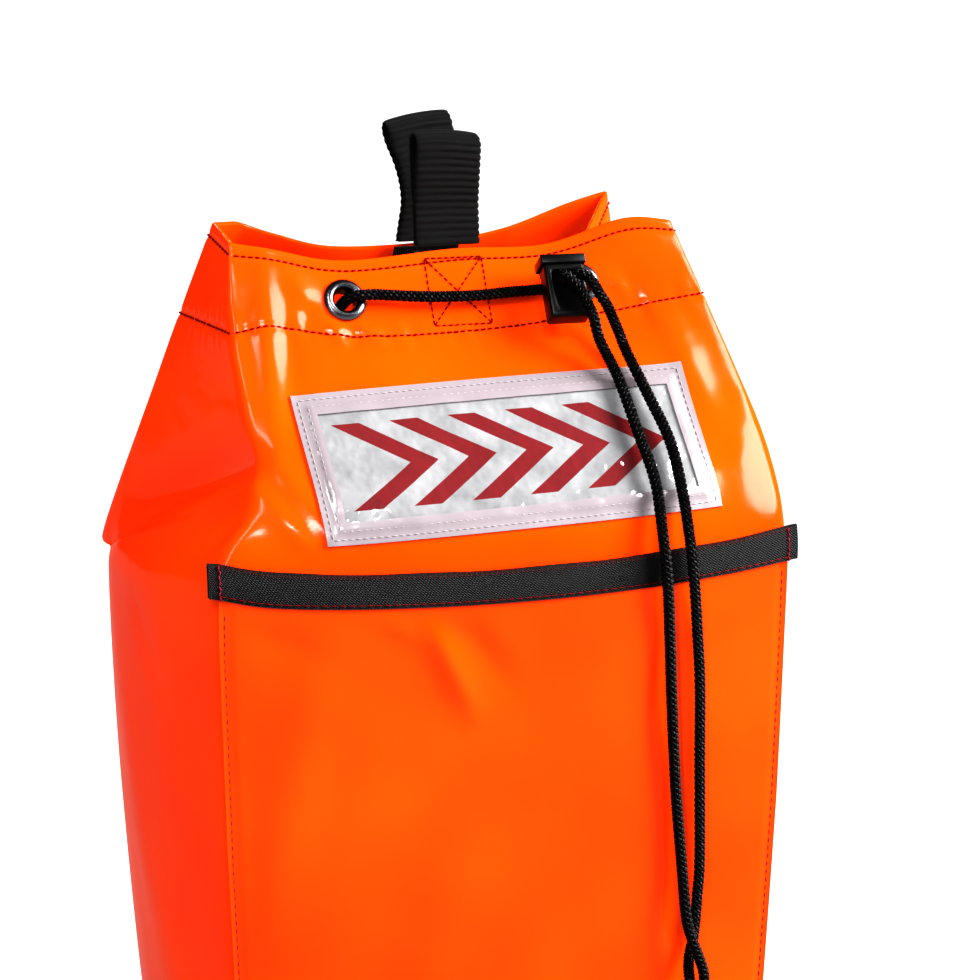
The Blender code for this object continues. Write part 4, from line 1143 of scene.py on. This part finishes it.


def braid_mesh(path, start=0.0):
    """Two sets of strands that wind opposite ways round a path, each over and under the other."""
    one, two = frames_along(path)
    s = start + distances(path)
    half_width, half_depth, weave_depth = CORD * 0.13, CORD * 0.095, CORD * 0.07
    middle = CORD / 2 - half_depth - weave_depth
    parts = []
    for way in (1, -1):
        for k in range(STRANDS):
            turn = 2 * pi * (k / STRANDS + way * s / BRAID_PITCH)
            radial = np.cos(turn)[:, None] * one + np.sin(turn)[:, None] * two
            around = -np.sin(turn)[:, None] * one + np.cos(turn)[:, None] * two
            weave = middle + weave_depth * way * np.cos(2 * pi * STRANDS * s / BRAID_PITCH)
            parts.append(tube_mesh(path + radial * weave[:, None], half_width, 6,
                                   half_depth / half_width, (around, radial)))
    parts.append(tube_mesh(path, middle - half_depth * 0.8, 8))
    return joined(parts)


def cords():
    run = along(DRAWCORD, BRAID_STEP)
    cut, ends = (int(round(length / BRAID_STEP)) for length in IN_LOCK)
    made = piece("drawcord_run", *braid_mesh(run[cut:-ends], start=distances(run)[cut]), FIBRE, "bag",
                 "cord")
    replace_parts(made, "drawcord")
    place = wall_frame("front", LOCK_X, LOCK_Z)
    for side, part in (("left", run[:cut + 1]), ("right", run[-ends - 1:])):
        slot_end = piece("drawcord_in_lock_" + side, *braid_mesh(part), FIBRE, None, "cord")
        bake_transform(slot_end)

    knot_piece = knot()
    for side, route, cad in (("left", TAIL_LEFT, "drawcord_tail_left"),
                             ("right", TAIL_RIGHT, "drawcord_tail_right")):
        path = along(route, BRAID_STEP)
        tail = piece("cord_tail_" + side, *braid_mesh(path), FIBRE, "cord_lock", "cord")
        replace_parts(tail, cad)


KNOT_TOP = 87.0
KNOT_CENTRE = (70.2, -87.8)


def knot():
    """Three wraps, one under the other, round both cords, whose short ends hang out below."""
    x, y = KNOT_CENTRE
    parts = []
    for k, (height, width, lean) in enumerate(((-4.0, 4.6, 0.9), (-8.0, 4.9, -0.9), (-11.6, 4.4, 0.7))):
        turns = np.linspace(0, 2 * pi * 0.98, 34)
        line = np.stack([x + width * np.cos(turns), y + 0.86 * width * np.sin(turns),
                         KNOT_TOP + height + lean * np.cos(turns + k)], axis=1)
        parts.append(braid_mesh(line, start=k * 5.0))
    for side, dx in ((-1, -2.4), (1, 2.6)):
        route = [(x + side * 2.0, y, KNOT_TOP - 0.2), (x + side * 1.6, y, KNOT_TOP - 6),
                 (x + dx * 0.9, y, KNOT_TOP - 14), (x + dx * 1.3, y - 0.3, KNOT_TOP - 21),
                 (x + dx * 1.8, y + 0.2, KNOT_TOP - 28)]
        parts.append(braid_mesh(along(route, BRAID_STEP), start=side * 3.0))
    made = piece("cord_end_knot", *joined(parts), FIBRE, "cord_lock", "cord")
    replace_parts(made, "drawcord_knot")
    return made


# ---- rope inside ----
ROPE_RADIUS, ROPE_LEVEL, ROPE_LAYER, ROPE_REACH = 4.2, 222, 7.5, (92, 60)


def stuffed_rope():
    """The rope fills the body in loose flaked turns; only its upper turns have their own shape."""
    rng = np.random.default_rng(7)
    parts = []
    count = 16
    for layer, size in enumerate((1, 1, 0.97, 0.93, 0.86, 0.72, 0.5)):
        height = ROPE_LEVEL + layer * ROPE_LAYER
        turns = np.linspace(0, 4 * pi, count) + layer
        reach = np.linspace(0.92, 0.45, count) * size
        line = np.stack([ROPE_REACH[0] * reach * np.cos(turns) + rng.normal(0, 4, count),
                         ROPE_REACH[1] * reach * np.sin(turns) + rng.normal(0, 3, count),
                         height + rng.normal(0, 1.6, count)], axis=1)
        parts.append(tube_mesh(along(line, 3.0), ROPE_RADIUS, 10))
    piece("rope_flakes", *joined(parts), ROPE_YELLOW, "bag", "floating_rope")


# ---- the rest of the CAD nodes ----
def finish_cad_nodes():
    for name, material in (("base_panel", FABRIC), ("foam_float", FOAM), ("throw_rope", ROPE_YELLOW),
                           ("cord_lock_spring", STEEL)):
        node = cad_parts[name]
        node.data.materials.clear()
        node.data.materials.append(material)


# ---- floor and light ----
BAG_MIDDLE = (0, 0, 0.25)


def area_light(name, place, aim, size, power):
    data = bpy.data.lights.new(name, "AREA")
    data.shape = "RECTANGLE"
    data.size, data.size_y = size
    data.energy = power
    made = bpy.data.objects.new(name, data)
    made.location = place
    made.rotation_euler = (Vector(aim) - Vector(place)).to_track_quat("-Z", "Y").to_euler()
    bpy.context.collection.objects.link(made)


def studio():
    mesh = bpy.data.meshes.new("floor")
    bm = bmesh.new()
    bmesh.ops.create_grid(bm, x_segments=1, y_segments=1, size=12)
    bm.to_mesh(mesh)
    bm.free()
    floor = bpy.data.objects.new("floor", mesh)
    bpy.context.collection.objects.link(floor)
    pale = Nodes("floor", (0.06, 0.06, 0.06), 0.9, Emission_Strength=0.9, Specular_IOR_Level=0.1)
    pale.set("Emission Color", (1, 1, 1, 1))
    mesh.materials.append(pale.material)
    world = bpy.data.worlds.new("studio")
    world.use_nodes = True
    sky = world.node_tree.nodes["Background"]
    sky.inputs["Color"].default_value = (1, 1, 1, 1)
    sky.inputs["Strength"].default_value = 0.12
    bpy.context.scene.world = world
    bpy.context.scene.view_settings.view_transform = "Standard"
    bpy.context.scene.view_settings.look = "High Contrast"
    area_light("key", (1.5, -0.7, 1.2), BAG_MIDDLE, (1.1, 1.2), 185)
    area_light("left_strip", (-0.72, -1.15, 1.2), BAG_MIDDLE, (0.09, 1.5), 20)
    area_light("back_box", (-0.35, 1.25, 1.4), BAG_MIDDLE, (0.3, 0.3), 10)
    area_light("glint", (-0.1, -1.2, 1.35), (0, 0, 0.3), (0.22, 0.12), 10)


walls()
hem_stitches()
loop_stitches()
pocket()
tape()
label()
eyelets()
webbing_loops()
cord_lock()
cords()
stuffed_rope()
finish_cad_nodes()
studio()
